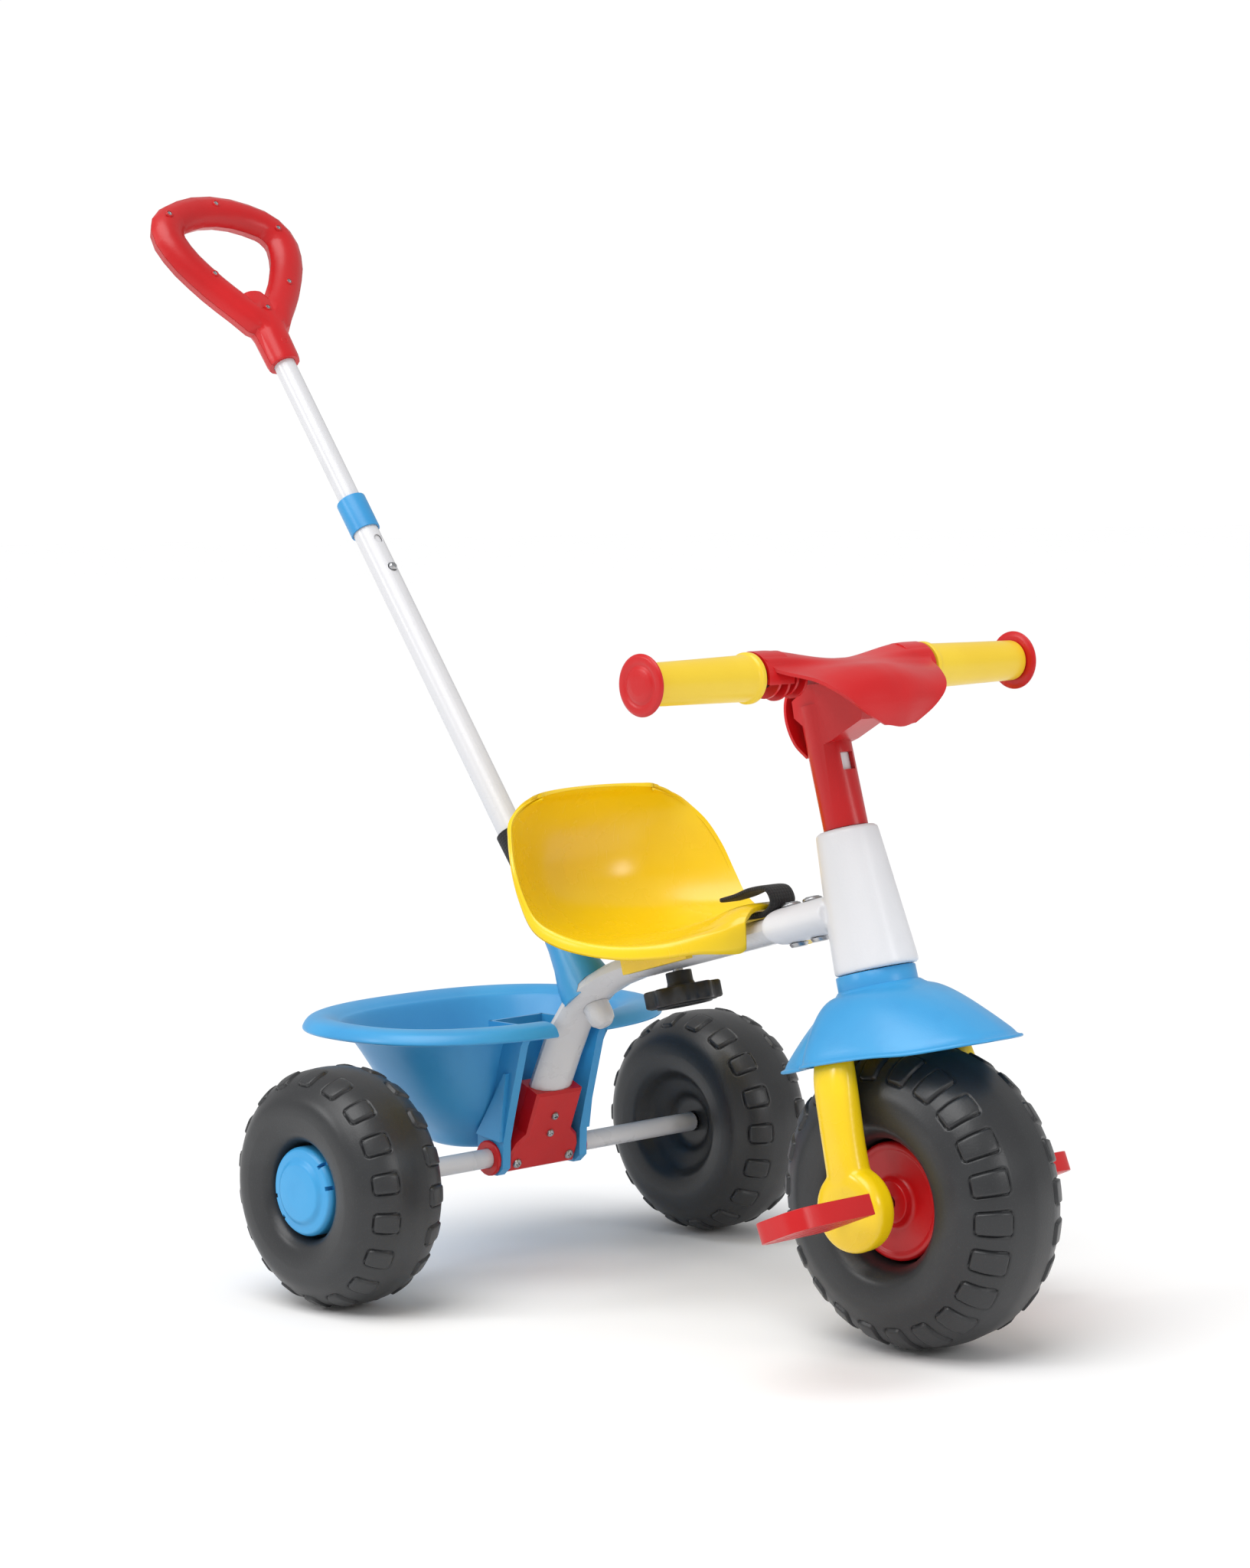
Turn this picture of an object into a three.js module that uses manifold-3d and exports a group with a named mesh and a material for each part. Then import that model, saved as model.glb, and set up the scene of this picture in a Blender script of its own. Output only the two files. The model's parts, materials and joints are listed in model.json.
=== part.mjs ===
// Children's tricycle with push pole, tipping bucket and sliding seat.
// Millimetres, +X forward, +Y to the rider's left, +Z up; the origin is on the floor under the rear axle.
import * as THREE from "three";
import { mergeVertices } from "three/addons/utils/BufferGeometryUtils.js";
import Module from "manifold-3d";

const wasm = await Module();
wasm.setup();

// ---- driving dimensions ----
const GAP = 0.3;
const MIDDLE_X = 59.56;
const REAR_WHEEL_RADIUS = 90;
const REAR_WHEEL_HALF_WIDTH = 41.3;
const REAR_TRACK_HALF = 192;
const AXLE_RADIUS = 7.5;
const AXLE_HALF_LENGTH = 173;
const SPINDLE_RADIUS = 5;
const BUSH_RADIUS = 10.5;
const WHEELBASE = 406;
const FRONT_WHEEL_RADIUS = 107;
const FRONT_WHEEL_HALF_WIDTH = 48.6;
const WHEEL_WALL = 2.6;
const HUB_DISC_RADIUS = 41.7;
const STEERING_RAKE = THREE.MathUtils.degToRad(15);
const CRANK_RADIUS = 4.5;
const CRANK_THROW = 36;
const CRANK_ARM_Y = 100;
const PEDAL_INNER_Y = 111;
const PEDAL_WIDTH = 72;
const PEDAL_DEPTH = 47;
const PEDAL_THICKNESS = 15.4;
const PEDAL_PITCH = THREE.MathUtils.degToRad(7);
const COLUMN_RADIUS = 12.5;
const STEM_RADIUS = 16;
const HEAD_BOTTOM = 160.5;
const HEAD_TOP = 262;
const BAR_RADIUS = 7.5;
const BAR_HALF_LENGTH = 188;
const BAR_FORWARD = 21.4;
const BAR_HEIGHT = 370.4;
const GRIP_INNER_Y = 88;
const FRAME_HALF_WIDTH = 20.5;
const FRAME_HALF_DEPTH = 10;
const FRAME_WALL = 1.6;
const SEAT_TUBE_PITCH = THREE.MathUtils.degToRad(15);
const SEAT_CLAMP = { x: 163, z: 255.4 };
const SEAT_TRAVEL = 24;
const POLE_LEAN = THREE.MathUtils.degToRad(36.1);
const POLE_FOOT = { x: 70, z: 217.6 };
const POLE_RADIUS = 10.5;
const POLE_WALL = 1;
const POLE_BOTTOM = -5;
const UPPER_POLE_RADIUS = 9;
const POLE_JOINT = 435;
const BUTTON_HEIGHT = 394;
const HANDLE_FOOT = 604.5;
const BRACKET_LEAN = Math.atan2(22, 53);

// ---- colours ----
const paint = (color, roughness, metalness) => ({ color, roughness, metalness });
const CHARCOAL = paint(0x2b2c2e, 0.62, 0);
const RED = paint(0xc4161c, 0.35, 0);
const BLUE = paint(0x3f97d6, 0.4, 0);
const YELLOW = paint(0xefc81c, 0.4, 0);
const WHITE_STEEL = paint(0xf0f0f1, 0.3, 0.1);
const WHITE_PLASTIC = paint(0xeeeef0, 0.42, 0);
const STEEL = paint(0xb8babd, 0.3, 1);
const BLACK = paint(0x141414, 0.5, 0);
const WEBBING = paint(0x0d0d0e, 0.85, 0);

// ---- solids ----
function solidOf(geometry) {
  const bare = geometry.index ? geometry.toNonIndexed() : geometry.clone();
  bare.deleteAttribute("normal");
  bare.deleteAttribute("uv");
  const merged = mergeVertices(bare, 1e-3);
  const position = merged.attributes.position;
  const corners = merged.index.array;
  const [a, b, c] = [new THREE.Vector3(), new THREE.Vector3(), new THREE.Vector3()];
  const kept = [];
  let volume = 0;
  for (let i = 0; i < corners.length; i += 3) {
    const [p, q, r] = [corners[i], corners[i + 1], corners[i + 2]];
    if (p === q || q === r || r === p) continue;
    kept.push(p, q, r);
    a.fromBufferAttribute(position, p);
    b.fromBufferAttribute(position, q);
    c.fromBufferAttribute(position, r);
    volume += a.dot(b.cross(c));
  }
  if (volume < 0) kept.reverse();
  const mesh = new wasm.Mesh({
    numProp: 3,
    vertProperties: position.array,
    triVerts: new Uint32Array(kept),
  });
  return new wasm.Manifold(mesh);
}

function geometryOf(solid) {
  const { numProp, numVert, vertProperties, triVerts } = solid.getMesh();
  const points = new Float32Array(numVert * 3);
  for (let i = 0; i < numVert; i++) {
    points.set(vertProperties.subarray(i * numProp, i * numProp + 3), i * 3);
  }
  const geometry = new THREE.BufferGeometry();
  geometry.setAttribute("position", new THREE.BufferAttribute(points, 3));
  geometry.setIndex(new THREE.BufferAttribute(triVerts, 1));
  return geometry;
}

function join(...geometries) {
  return geometryOf(geometries.map(solidOf).reduce((whole, piece) => whole.add(piece)));
}

function cut(base, ...tools) {
  return geometryOf(tools.map(solidOf).reduce((whole, tool) => whole.subtract(tool), solidOf(base)));
}

function common(base, tool) {
  return geometryOf(solidOf(base).intersect(solidOf(tool)));
}

function moved(geometry, { x = 0, y = 0, z = 0, rx = 0, ry = 0, rz = 0 }) {
  const turn = new THREE.Euler(rx, ry, rz);
  const place = new THREE.Matrix4().makeRotationFromEuler(turn).setPosition(x, y, z);
  return geometry.clone().applyMatrix4(place);
}

// A turned piece on the Y axis; its profile is [radius, y] pairs that start and end on the axis.
function turned(profile, segments = 24) {
  return new THREE.LatheGeometry(profile.map(([r, y]) => new THREE.Vector2(r, y)), segments);
}

// A pipe on the Y axis from y0 to y1.
function pipe(outer, inner, y0, y1, segments = 20) {
  const profile = [[inner, y0], [outer, y0], [outer, y1], [inner, y1], [inner, y0]];
  return turned(profile, segments);
}

function rod(radius, y0, y1, segments = 16) {
  return new THREE.CylinderGeometry(radius, radius, y1 - y0, segments).translate(0, (y0 + y1) / 2, 0);
}

function block(x0, x1, y0, y1, z0, z1) {
  const box = new THREE.BoxGeometry(x1 - x0, y1 - y0, z1 - z0);
  return box.translate((x0 + x1) / 2, (y0 + y1) / 2, (z0 + z1) / 2);
}

// A plate with an outline in X and Z, from y0 to y1.
function plate(outline, y0, y1) {
  const shape = new THREE.Shape(outline.map(([x, z]) => new THREE.Vector2(x, z)));
  const flat = new THREE.ExtrudeGeometry(shape, { depth: y1 - y0, bevelEnabled: false });
  return flat.rotateX(Math.PI / 2).translate(0, y1, 0);
}

function ellipseShape(halfX, halfY, sides) {
  const points = [];
  for (let i = 0; i < sides; i++) {
    const angle = (i / sides) * 2 * Math.PI;
    points.push(new THREE.Vector2(halfX * Math.cos(angle), halfY * Math.sin(angle)));
  }
  return new THREE.Shape(points);
}

// A bar of elliptical section swept through points of the XZ plane; halfWide is along Y.
function sweep(points, halfWide, halfDeep, sides, steps) {
  const path = new THREE.CatmullRomCurve3(points.map(([x, z]) => new THREE.Vector3(x, 0, z)));
  const options = { steps, extrudePath: path };
  return new THREE.ExtrudeGeometry(ellipseShape(halfWide, halfDeep, sides), options);
}

// A skin over rings of equal point counts, capped at both ends or closed on itself.
function loft(rings, closed = false) {
  const sides = rings[0].length;
  const points = rings.flat();
  const index = [];
  const strips = closed ? rings.length : rings.length - 1;
  for (let k = 0; k < strips; k++) {
    const low = k * sides;
    const high = ((k + 1) % rings.length) * sides;
    for (let i = 0; i < sides; i++) {
      const j = (i + 1) % sides;
      index.push(low + i, low + j, high + j, low + i, high + j, high + i);
    }
  }
  if (!closed) {
    const ends = [[rings[0], 0, true], [rings.at(-1), (rings.length - 1) * sides, false]];
    ends.forEach(([ring, base, flip]) => {
      const middle = points.length;
      points.push(ring.reduce((sum, p) => sum.add(p), new THREE.Vector3()).divideScalar(sides));
      for (let i = 0; i < sides; i++) {
        const j = (i + 1) % sides;
        index.push(middle, base + (flip ? j : i), base + (flip ? i : j));
      }
    });
  }
  return geometryOf(solidOf(new THREE.BufferGeometry().setFromPoints(points).setIndex(index)));
}

// A horizontal superellipse ring about (x, 0).
function ring(x, z, halfX, halfY, power, sides) {
  const points = [];
  for (let i = 0; i < sides; i++) {
    const angle = (i / sides) * 2 * Math.PI;
    const [c, s] = [Math.cos(angle), Math.sin(angle)];
    const px = x + halfX * Math.sign(c) * Math.abs(c) ** (2 / power);
    const py = halfY * Math.sign(s) * Math.abs(s) ** (2 / power);
    points.push(new THREE.Vector3(px, py, z));
  }
  return points;
}

// A sheet of even thickness over a grid of points; at(i, j) is its upper face.
function sheet(across, along, at, thickness) {
  const upper = [];
  for (let j = 0; j <= along; j++) {
    for (let i = 0; i <= across; i++) upper.push(at(i, j));
  }
  const id = (i, j) => j * (across + 1) + i;
  const clampI = (i) => Math.min(Math.max(i, 0), across);
  const clampJ = (j) => Math.min(Math.max(j, 0), along);
  const lower = upper.map((p, n) => {
    const i = n % (across + 1);
    const j = Math.floor(n / (across + 1));
    const du = upper[id(clampI(i + 1), j)].clone().sub(upper[id(clampI(i - 1), j)]);
    const dv = upper[id(i, clampJ(j + 1))].clone().sub(upper[id(i, clampJ(j - 1))]);
    return p.clone().add(du.cross(dv).setLength(thickness));
  });
  const half = upper.length;
  const index = [];
  const quad = (a, b, c, d) => index.push(a, b, c, a, c, d);
  for (let j = 0; j < along; j++) {
    for (let i = 0; i < across; i++) {
      const [a, b, c, d] = [id(i, j), id(i + 1, j), id(i + 1, j + 1), id(i, j + 1)];
      quad(a, d, c, b);
      quad(half + a, half + b, half + c, half + d);
    }
  }
  for (let i = 0; i < across; i++) {
    quad(id(i, 0), id(i + 1, 0), half + id(i + 1, 0), half + id(i, 0));
    quad(id(i + 1, along), id(i, along), half + id(i, along), half + id(i + 1, along));
  }
  for (let j = 0; j < along; j++) {
    quad(id(0, j + 1), id(0, j), half + id(0, j), half + id(0, j + 1));
    quad(id(across, j), id(across, j + 1), half + id(across, j + 1), half + id(across, j));
  }
  const skin = new THREE.BufferGeometry().setFromPoints([...upper, ...lower]).setIndex(index);
  return geometryOf(solidOf(skin));
}

function named(name, geometry, look, { x = 0, y = 0, z = 0, rx = 0, ry = 0, rz = 0 } = {}) {
  geometry.computeVertexNormals();
  const mesh = new THREE.Mesh(geometry, new THREE.MeshStandardMaterial(look));
  mesh.name = name;
  mesh.position.set(x, y, z);
  mesh.rotation.set(rx, ry, rz);
  return mesh;
}

function group(place, ...children) {
  const { x = 0, y = 0, z = 0, rx = 0, ry = 0, rz = 0 } = place;
  const made = new THREE.Group();
  made.position.set(x, y, z);
  made.rotation.set(rx, ry, rz);
  made.add(...children);
  return made;
}

// ---- wheels: axis Y, outer side towards +Y ----
// The balloon part of a tyre's profile, from the inner shoulder over the tread to the outer one.
function balloon(radius, halfWidth, points) {
  const core = 0.62 * radius;
  const profile = [];
  for (let i = 0; i <= points; i++) {
    const angle = -Math.PI / 2 + (i / points) * Math.PI;
    const [c, s] = [Math.abs(Math.cos(angle)), Math.sin(angle)];
    profile.push([core + (radius - core) * c ** 0.83, halfWidth * Math.sign(s) * Math.abs(s) ** 0.83]);
  }
  return profile;
}

// A blow-moulded wheel is hollow, with one vent in its inner side. The hollow's profile follows the skin's.
function hollowWheel(radius, halfWidth, innerSide, outerSide, hollowInner, hollowOuter, ventRadius) {
  const outline = [[innerSide[0][0], 0], ...innerSide, ...balloon(radius, halfWidth, 10), ...outerSide];
  const skin = turned([...outline, outline[0]], 26);
  const inside = balloon(radius - WHEEL_WALL, halfWidth - WHEEL_WALL, 6);
  const cavity = turned([...hollowInner, ...inside, ...hollowOuter, hollowInner[0]], 14);
  const vent = moved(rod(2.5, -halfWidth, 0, 6), { x: ventRadius });
  return cut(skin, cavity, vent);
}

function rearWheel(side) {
  const name = side > 0 ? "left" : "right";
  const bore = SPINDLE_RADIUS + 0.15;
  const innerSide = [[bore, -17], [19, -17], [24, -23], [36, -28], [44, -39]];
  const outerSide = [[41, 38], [36, 30], [35, 19.5], [bore, 19.5]];
  const hollowInner = [[20, 16.5], [20, -14], [26, -20], [37, -25], [45, -35]];
  const hollowOuter = [[44, 35], [39, 29], [38, 16.5]];
  const [radius, half] = [REAR_WHEEL_RADIUS, REAR_WHEEL_HALF_WIDTH];
  const wheel = hollowWheel(radius, half, innerSide, outerSide, hollowInner, hollowOuter, 64);
  const capProfile = [[0, 24], [10, 24], [10, 19.8], [33.1, 19.8], [33.1, 33], [31, 36.4], [24.5, 36.8],
    [21, 39.8], [0, 40.2]];
  const cap = turned(capProfile, 24);
  return group(
    { y: side * REAR_TRACK_HALF, z: REAR_WHEEL_RADIUS, rz: side > 0 ? 0 : Math.PI },
    named(`rear_wheel_${name}`, wheel, CHARCOAL),
    named(`hub_cap_${name}`, cap, BLUE),
  );
}

// ---- rear axle and bracket ----
// Bracket frame: origin on the axle, +Z up the frame tube, +X square to it.
const onBracket = (geometry) => moved(geometry, { z: REAR_WHEEL_RADIUS, ry: BRACKET_LEAN });
const BRACKET_SCREWS = [
  { name: "bracket_screw_upper", y: 0, z: 38 },
  { name: "bracket_screw_middle", y: 0, z: 23 },
  { name: "bracket_screw_right", y: -27, z: 0 },
  { name: "bracket_screw_left", y: 27, z: 0 },
];
const SCREW_RADIUS = 2;

const screwHole = ({ y, z }) =>
  onBracket(rod(SCREW_RADIUS + 0.25, -30, 30, 8).rotateZ(Math.PI / 2).translate(0, y, z));

function framePath() {
  const low = 12;
  const start = [low * Math.sin(BRACKET_LEAN), REAR_WHEEL_RADIUS + low * Math.cos(BRACKET_LEAN)];
  const bend = [[22, 143], [35, 170], [50, 197], [76, 223], [112, 241], [140, 249.4]];
  return [start, ...bend, [173, 258], [240, 275.6], [316, 295.6]];
}

const frameTubeSolid = (gap) => sweep(framePath(), FRAME_HALF_WIDTH + gap, FRAME_HALF_DEPTH + gap, 14, 16);

function mainFrameTube() {
  const outer = frameTubeSolid(0);
  const [first, last] = [framePath()[0], framePath().at(-1)];
  const longer = [[first[0] - 1, first[1] - 2.4], ...framePath().slice(1, -1), [last[0] + 4, last[1] + 1.05]];
  const inner = sweep(longer, FRAME_HALF_WIDTH - FRAME_WALL, FRAME_HALF_DEPTH - FRAME_WALL, 10, 16);
  const slot = onSeatTube(block(-SEAT_TRAVEL - 5, 5, -4.6, 4.6, -20, 20));
  const poleHole = onPole(rod(POLE_RADIUS + GAP, -6, 30, 20));
  const bolts = [HEAD_BOLT_REAR, HEAD_BOLT_FRONT].map(headBoltHole);
  return cut(outer, inner, slot, poleHole, ...BRACKET_SCREWS.map(screwHole), ...bolts);
}

function bracketBody() {
  const half = [[33, -5.8], [33, 8], [29.5, 16], [21.4, 23], [21.4, 57]];
  const outline = [...half, ...half.map(([y, z]) => [-y, z]).reverse()];
  const shape = new THREE.Shape(outline.map(([y, z]) => new THREE.Vector2(y, z)));
  const bevel = { depth: 22, bevelThickness: 2, bevelSize: 2, bevelSegments: 1 };
  const slab = new THREE.ExtrudeGeometry(shape, bevel).translate(0, 0, -11);
  const standing = slab.rotateZ(Math.PI / 2).rotateY(Math.PI / 2);
  const tube = frameTubeSolid(GAP);
  const axle = rod(AXLE_RADIUS + GAP, -60, 60, 20).translate(0, 0, REAR_WHEEL_RADIUS);
  return cut(onBracket(standing), tube, axle, ...BRACKET_SCREWS.map(screwHole));
}

function bracket() {
  const body = bracketBody();
  const front = common(body, onBracket(block(GAP / 2, 40, -60, 60, -40, 90)));
  const rear = common(body, onBracket(block(-40, -GAP / 2, -60, 60, -40, 90)));
  const shank = [[0, -13.2], [SCREW_RADIUS, -13.2], [SCREW_RADIUS, 13.9]];
  const screw = turned([...shank, [4, 13.9], [3.6, 16], [0, 16.4]], 12);
  const screws = BRACKET_SCREWS.map(({ name, y, z }) =>
    named(name, onBracket(screw.clone().rotateZ(-Math.PI / 2).translate(0, y, z)), STEEL));
  return [named("bracket_front_shell", front, RED), named("bracket_rear_shell", rear, RED), ...screws];
}

function rearAxle() {
  const tube = pipe(AXLE_RADIUS, SPINDLE_RADIUS + 0.3, -AXLE_HALF_LENGTH, AXLE_HALF_LENGTH);
  const placed = tube.translate(0, 0, REAR_WHEEL_RADIUS);
  const drilled = cut(placed, ...BRACKET_SCREWS.slice(2).map(screwHole));
  const pieces = [named("rear_axle_tube", drilled, WHITE_STEEL)];
  [["right", -1], ["left", 1]].forEach(([name, side]) => {
    const turn = { z: REAR_WHEEL_RADIUS, rz: side > 0 ? 0 : Math.PI };
    const spindle = turned([[0, 142], [SPINDLE_RADIUS, 142], [SPINDLE_RADIUS, 213], [0, 213]], 20);
    const inner = SPINDLE_RADIUS + GAP;
    const nutProfile = [[0, 213.4], [inner, 213.4], [inner, 211.9], [9, 211.9], [9, 214.8], [0, 215.3]];
    const nut = turned(nutProfile, 16);
    const bush = turned([[AXLE_RADIUS + GAP, 36], [BUSH_RADIUS, 36], [BUSH_RADIUS, 43.9], [13.8, 43.9],
      [13.8, 45.6], [12.8, 46.6], [AXLE_RADIUS + GAP, 46.6], [AXLE_RADIUS + GAP, 36]], 20);
    pieces.push(named(`wheel_spindle_${name}`, spindle, STEEL, turn));
    pieces.push(named(`spindle_cap_${name}`, nut, STEEL, turn));
    pieces.push(named(`axle_bush_${name}`, bush, RED, turn));
  });
  return pieces;
}

// ---- bucket: tips about the rear axle ----
function bucket() {
  const sides = 28;
  const z0 = REAR_WHEEL_RADIUS;
  const skin = [
    ring(-50, z0 + 4, 30, 38, 2.4, sides),
    ring(-50, z0 + 6.5, 38, 50, 2.4, sides),
    ring(-49, z0 + 16, 43, 57, 2.4, sides),
    ring(-50, z0 + 43, 59, 82, 2.4, sides),
    ring(-56, z0 + 95, 80, 115, 2.4, sides),
    ring(-54, z0 + 101, 108, 138, 2.4, sides),
    ring(-54, z0 + 97, 113, 143, 2.4, sides),
    ring(-54, z0 + 99, 116, 146, 2.4, sides),
    ring(-54, z0 + 106, 111, 141, 2.4, sides),
    ring(-55, z0 + 108, 100, 130, 2.4, sides),
    ring(-56, z0 + 104, 86, 121, 2.4, sides),
    ring(-56, z0 + 95, 77, 112, 2.4, sides),
    ring(-50, z0 + 44, 56.5, 79.5, 2.4, sides),
    ring(-49, z0 + 18, 41, 55, 2.4, sides),
    ring(-50, z0 + 9.3, 36, 48, 2.4, sides),
    ring(-50, z0 + 6.6, 29, 37, 2.4, sides),
  ];
  const foot = [[-14, 84], [-8, 77], [8, 77], [15, 83]];
  const earOutline = [...foot, [16, 104], [21, 122], [38, 180], [44, 190], [-8, 176], [-14, 110]];
  const ears = [[-43.6, -36], [36, 43.6]].map(([y0, y1]) => plate(earOutline, y0, y1));
  const bore = rod(BUSH_RADIUS + 0.25, -60, 60, 20).translate(0, 0, z0);
  const tubeRoom = block(-14, 90, -25.2, 25.2, 90, 260);
  const bracketRoom = block(-17, 60, -35.8, 35.8, 60, 121);
  const front = cut(join(loft(skin), ...ears), bore, tubeRoom, bracketRoom);
  const wall = block(-17.2, -14.2, -27.5, 27.5, 118, 193);
  const lowWall = block(-17.2, -14.2, -37, 37, 98.5, 123);
  const cheeks = [[-27.7, -25.2], [25.2, 27.7]].map(([y0, y1]) =>
    plate([[-17, 121], [-17, 193], [34, 193], [22, 175], [6, 138], [-4, 121]], y0, y1));
  const shelves = [[-37.5, -25.2], [25.2, 37.5]].map(([y0, y1]) => block(-17, -4, y0, y1, 121, 123.5));
  return named("bucket", join(front, wall, lowWall, ...cheeks, ...shelves), BLUE);
}

// ---- head and its spigot ----
const atSteering = { x: WHEELBASE, z: FRONT_WHEEL_RADIUS, ry: -STEERING_RAKE };
const onSteering = (geometry) => moved(geometry, atSteering);
const upright = (geometry) => geometry.rotateX(Math.PI / 2);
const HEAD_BOLT_REAR = 287;
const HEAD_BOLT_FRONT = 308;
const tubeHeight = (x) => 258 + (x - 173) * Math.tan(SEAT_TUBE_PITCH);
const atTube = (x) => ({ x, z: tubeHeight(x), ry: -SEAT_TUBE_PITCH });
const headBoltHole = (x) => moved(upright(rod(2.8, -40, 40, 10)), atTube(x));

function headHousing() {
  const sides = 24;
  const rings = [
    ring(2, HEAD_BOTTOM, 29, 27.5, 2.2, sides),
    ring(2, HEAD_BOTTOM + 3, 30, 28, 2.2, sides),
    ring(1, HEAD_BOTTOM + 40, 27.5, 25.5, 2.2, sides),
    ring(0, HEAD_TOP - 4, 22.5, 22, 2, sides),
    ring(0, HEAD_TOP, 20, 19.5, 2, sides),
  ];
  const shell = onSteering(loft(rings));
  const flat = new THREE.ExtrudeGeometry(ellipseShape(24.6, 13.4, 20), { depth: 61, bevelEnabled: false });
  const spigot = moved(flat.rotateX(Math.PI / 2).rotateZ(Math.PI / 2), atTube(279));
  const tube = frameTubeSolid(GAP);
  const bore = onSteering(upright(rod(COLUMN_RADIUS + GAP, HEAD_BOTTOM - 5, HEAD_TOP + 5, 24)));
  const holes = [HEAD_BOLT_REAR, HEAD_BOLT_FRONT].map(headBoltHole);
  return named("head_housing", cut(join(shell, spigot), tube, bore, ...holes), WHITE_PLASTIC);
}

function headBolts() {
  const boltProfile = [[0, -16.6], [6, -16.4], [7.4, -13.7], [2.5, -13.7], [2.5, 16.2], [0, 16.2]];
  const bolt = upright(turned(boltProfile, 12));
  const nut = cut(new THREE.CylinderGeometry(5.4, 5.4, 2.2, 6), rod(2.7, -5, 5, 12));
  return [["rear", HEAD_BOLT_REAR], ["front", HEAD_BOLT_FRONT]].flatMap(([name, x]) => [
    named(`head_bolt_${name}`, bolt.clone(), STEEL, atTube(x)),
    named(`head_nut_${name}`, upright(nut.clone().translate(0, 14.9, 0)), STEEL, atTube(x)),
  ]);
}

// ---- steering: origin at the front axle, +Z up the steering axis ----
function fork() {
  const section = [[8, 15, 12, 67], [30, 14.5, 11.5, 66.5], [64, 15, 11, 64], [92, 16, 9.6, 61.4],
    [112, 15, 5.4, 57.4]];
  const podProfile = [[0, -13], [26, -13], [29, -10], [29.5, 2], [27, 7.6], [19, 9.8], [0, 9.8]];
  const legs = [-1, 1].flatMap((side) => {
    const leg = loft(section.map(([height, long, thick, out]) =>
      ring(0, height, long, thick, 2.8, 14).map((point) => point.add(new THREE.Vector3(0, side * out, 0)))));
    const pod = turned(podProfile, 20);
    return [leg, side > 0 ? pod.translate(0, 69.6, 0) : pod.rotateX(Math.PI).translate(0, -69.6, 0)];
  });
  const crown = loft([
    ring(0, 110, 14, 63, 3.4, 20),
    ring(0, 116, 16, 58, 3, 20),
    ring(0, 127, 19, 40, 2.6, 20),
    ring(0, 134, 20, 23.4, 2.2, 20),
  ]);
  const boss = upright(rod(23.4, 124, HEAD_BOTTOM - 0.6, 24));
  const columnHole = upright(rod(COLUMN_RADIUS + 0.15, 118, HEAD_BOTTOM + 5, 24));
  const axleHole = rod(CRANK_RADIUS + 0.2, -96, 96, 16);
  return named("fork", cut(join(crown, boss, ...legs), columnHole, axleHole), YELLOW);
}

function mudguard() {
  // left half of the hem as [x, y, height], from the front beak to the rear one
  const hem = [[103, 0, 96], [102, 13, 96], [94, 29, 96.5], [80, 43, 97], [62, 55, 98], [40, 64, 101],
    [13, 71, 103], [-12, 73, 104], [-26, 65, 104], [-35, 52, 104], [-46, 42, 104], [-64, 36, 104],
    [-84, 25, 105], [-95, 10, 106], [-96, 0, 106]];
  const outline = [...hem, ...hem.slice(1, -1).reverse().map(([x, y, s]) => [x, -y, s])];
  const shoulder = 146;
  const wall = 2.4;
  const level = (f, inset, drop) => outline.map(([x, y, low]) => {
    const reach = Math.hypot(x, y);
    const roundness = 1.15 + 0.9 * Math.abs(y / reach);
    const radius = 28.5 + (reach - 28.5) * f - inset;
    const height = shoulder - (shoulder - low) * f ** roundness - drop;
    return new THREE.Vector3((x / reach) * radius, (y / reach) * radius, height);
  });
  const top = HEAD_BOTTOM - 0.6;
  const flat = (radius, height) => outline.map(([x, y]) => {
    const reach = Math.hypot(x, y);
    return new THREE.Vector3((x / reach) * radius, (y / reach) * radius, height);
  });
  const steps = [0, 0.12, 0.35, 0.6, 0.82, 1];
  const outer = steps.map((f) => level(f, 0, 0));
  const inner = steps.map((f) => level(f, wall, 1.6 * (1 - f))).reverse();
  const lip = [level(1, -2.4, 1), level(1, -2.4, 2.6), level(1, wall, 2.6)];
  const collar = [flat(23.8, 143), flat(23.8, top), flat(28.5, top)];
  return named("mudguard", loft([...outer, ...lip, ...inner, ...collar], true), BLUE);
}

function steeringColumn() {
  return named("steering_column", upright(pipe(COLUMN_RADIUS, 10.5, 118.5, 322, 24)), WHITE_STEEL);
}

function stem() {
  const tube = upright(rod(STEM_RADIUS, HEAD_TOP + 0.6, 352, 24));
  const outline = [[-15, 346], [8, 322], [16, 323], [48, 331], [58, 350], [54, 356], [38, 361], [35, 370.4],
    [34, 376], [9, 375], [8, 370.4], [2, 364], [-14, 358]];
  const clamp = plate(outline, -14, 14);
  const bore = upright(rod(COLUMN_RADIUS + 0.15, HEAD_TOP, 322.5, 24));
  const barHole = rod(BAR_RADIUS + GAP, -30, 30, 20).translate(BAR_FORWARD, 0, BAR_HEIGHT);
  const window = plate([[6, 302], [24, 302], [24, 314.5], [6, 314.5]], -6, 6);
  return named("handlebar_stem", cut(join(tube, clamp), bore, barHole, window), RED);
}

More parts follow.
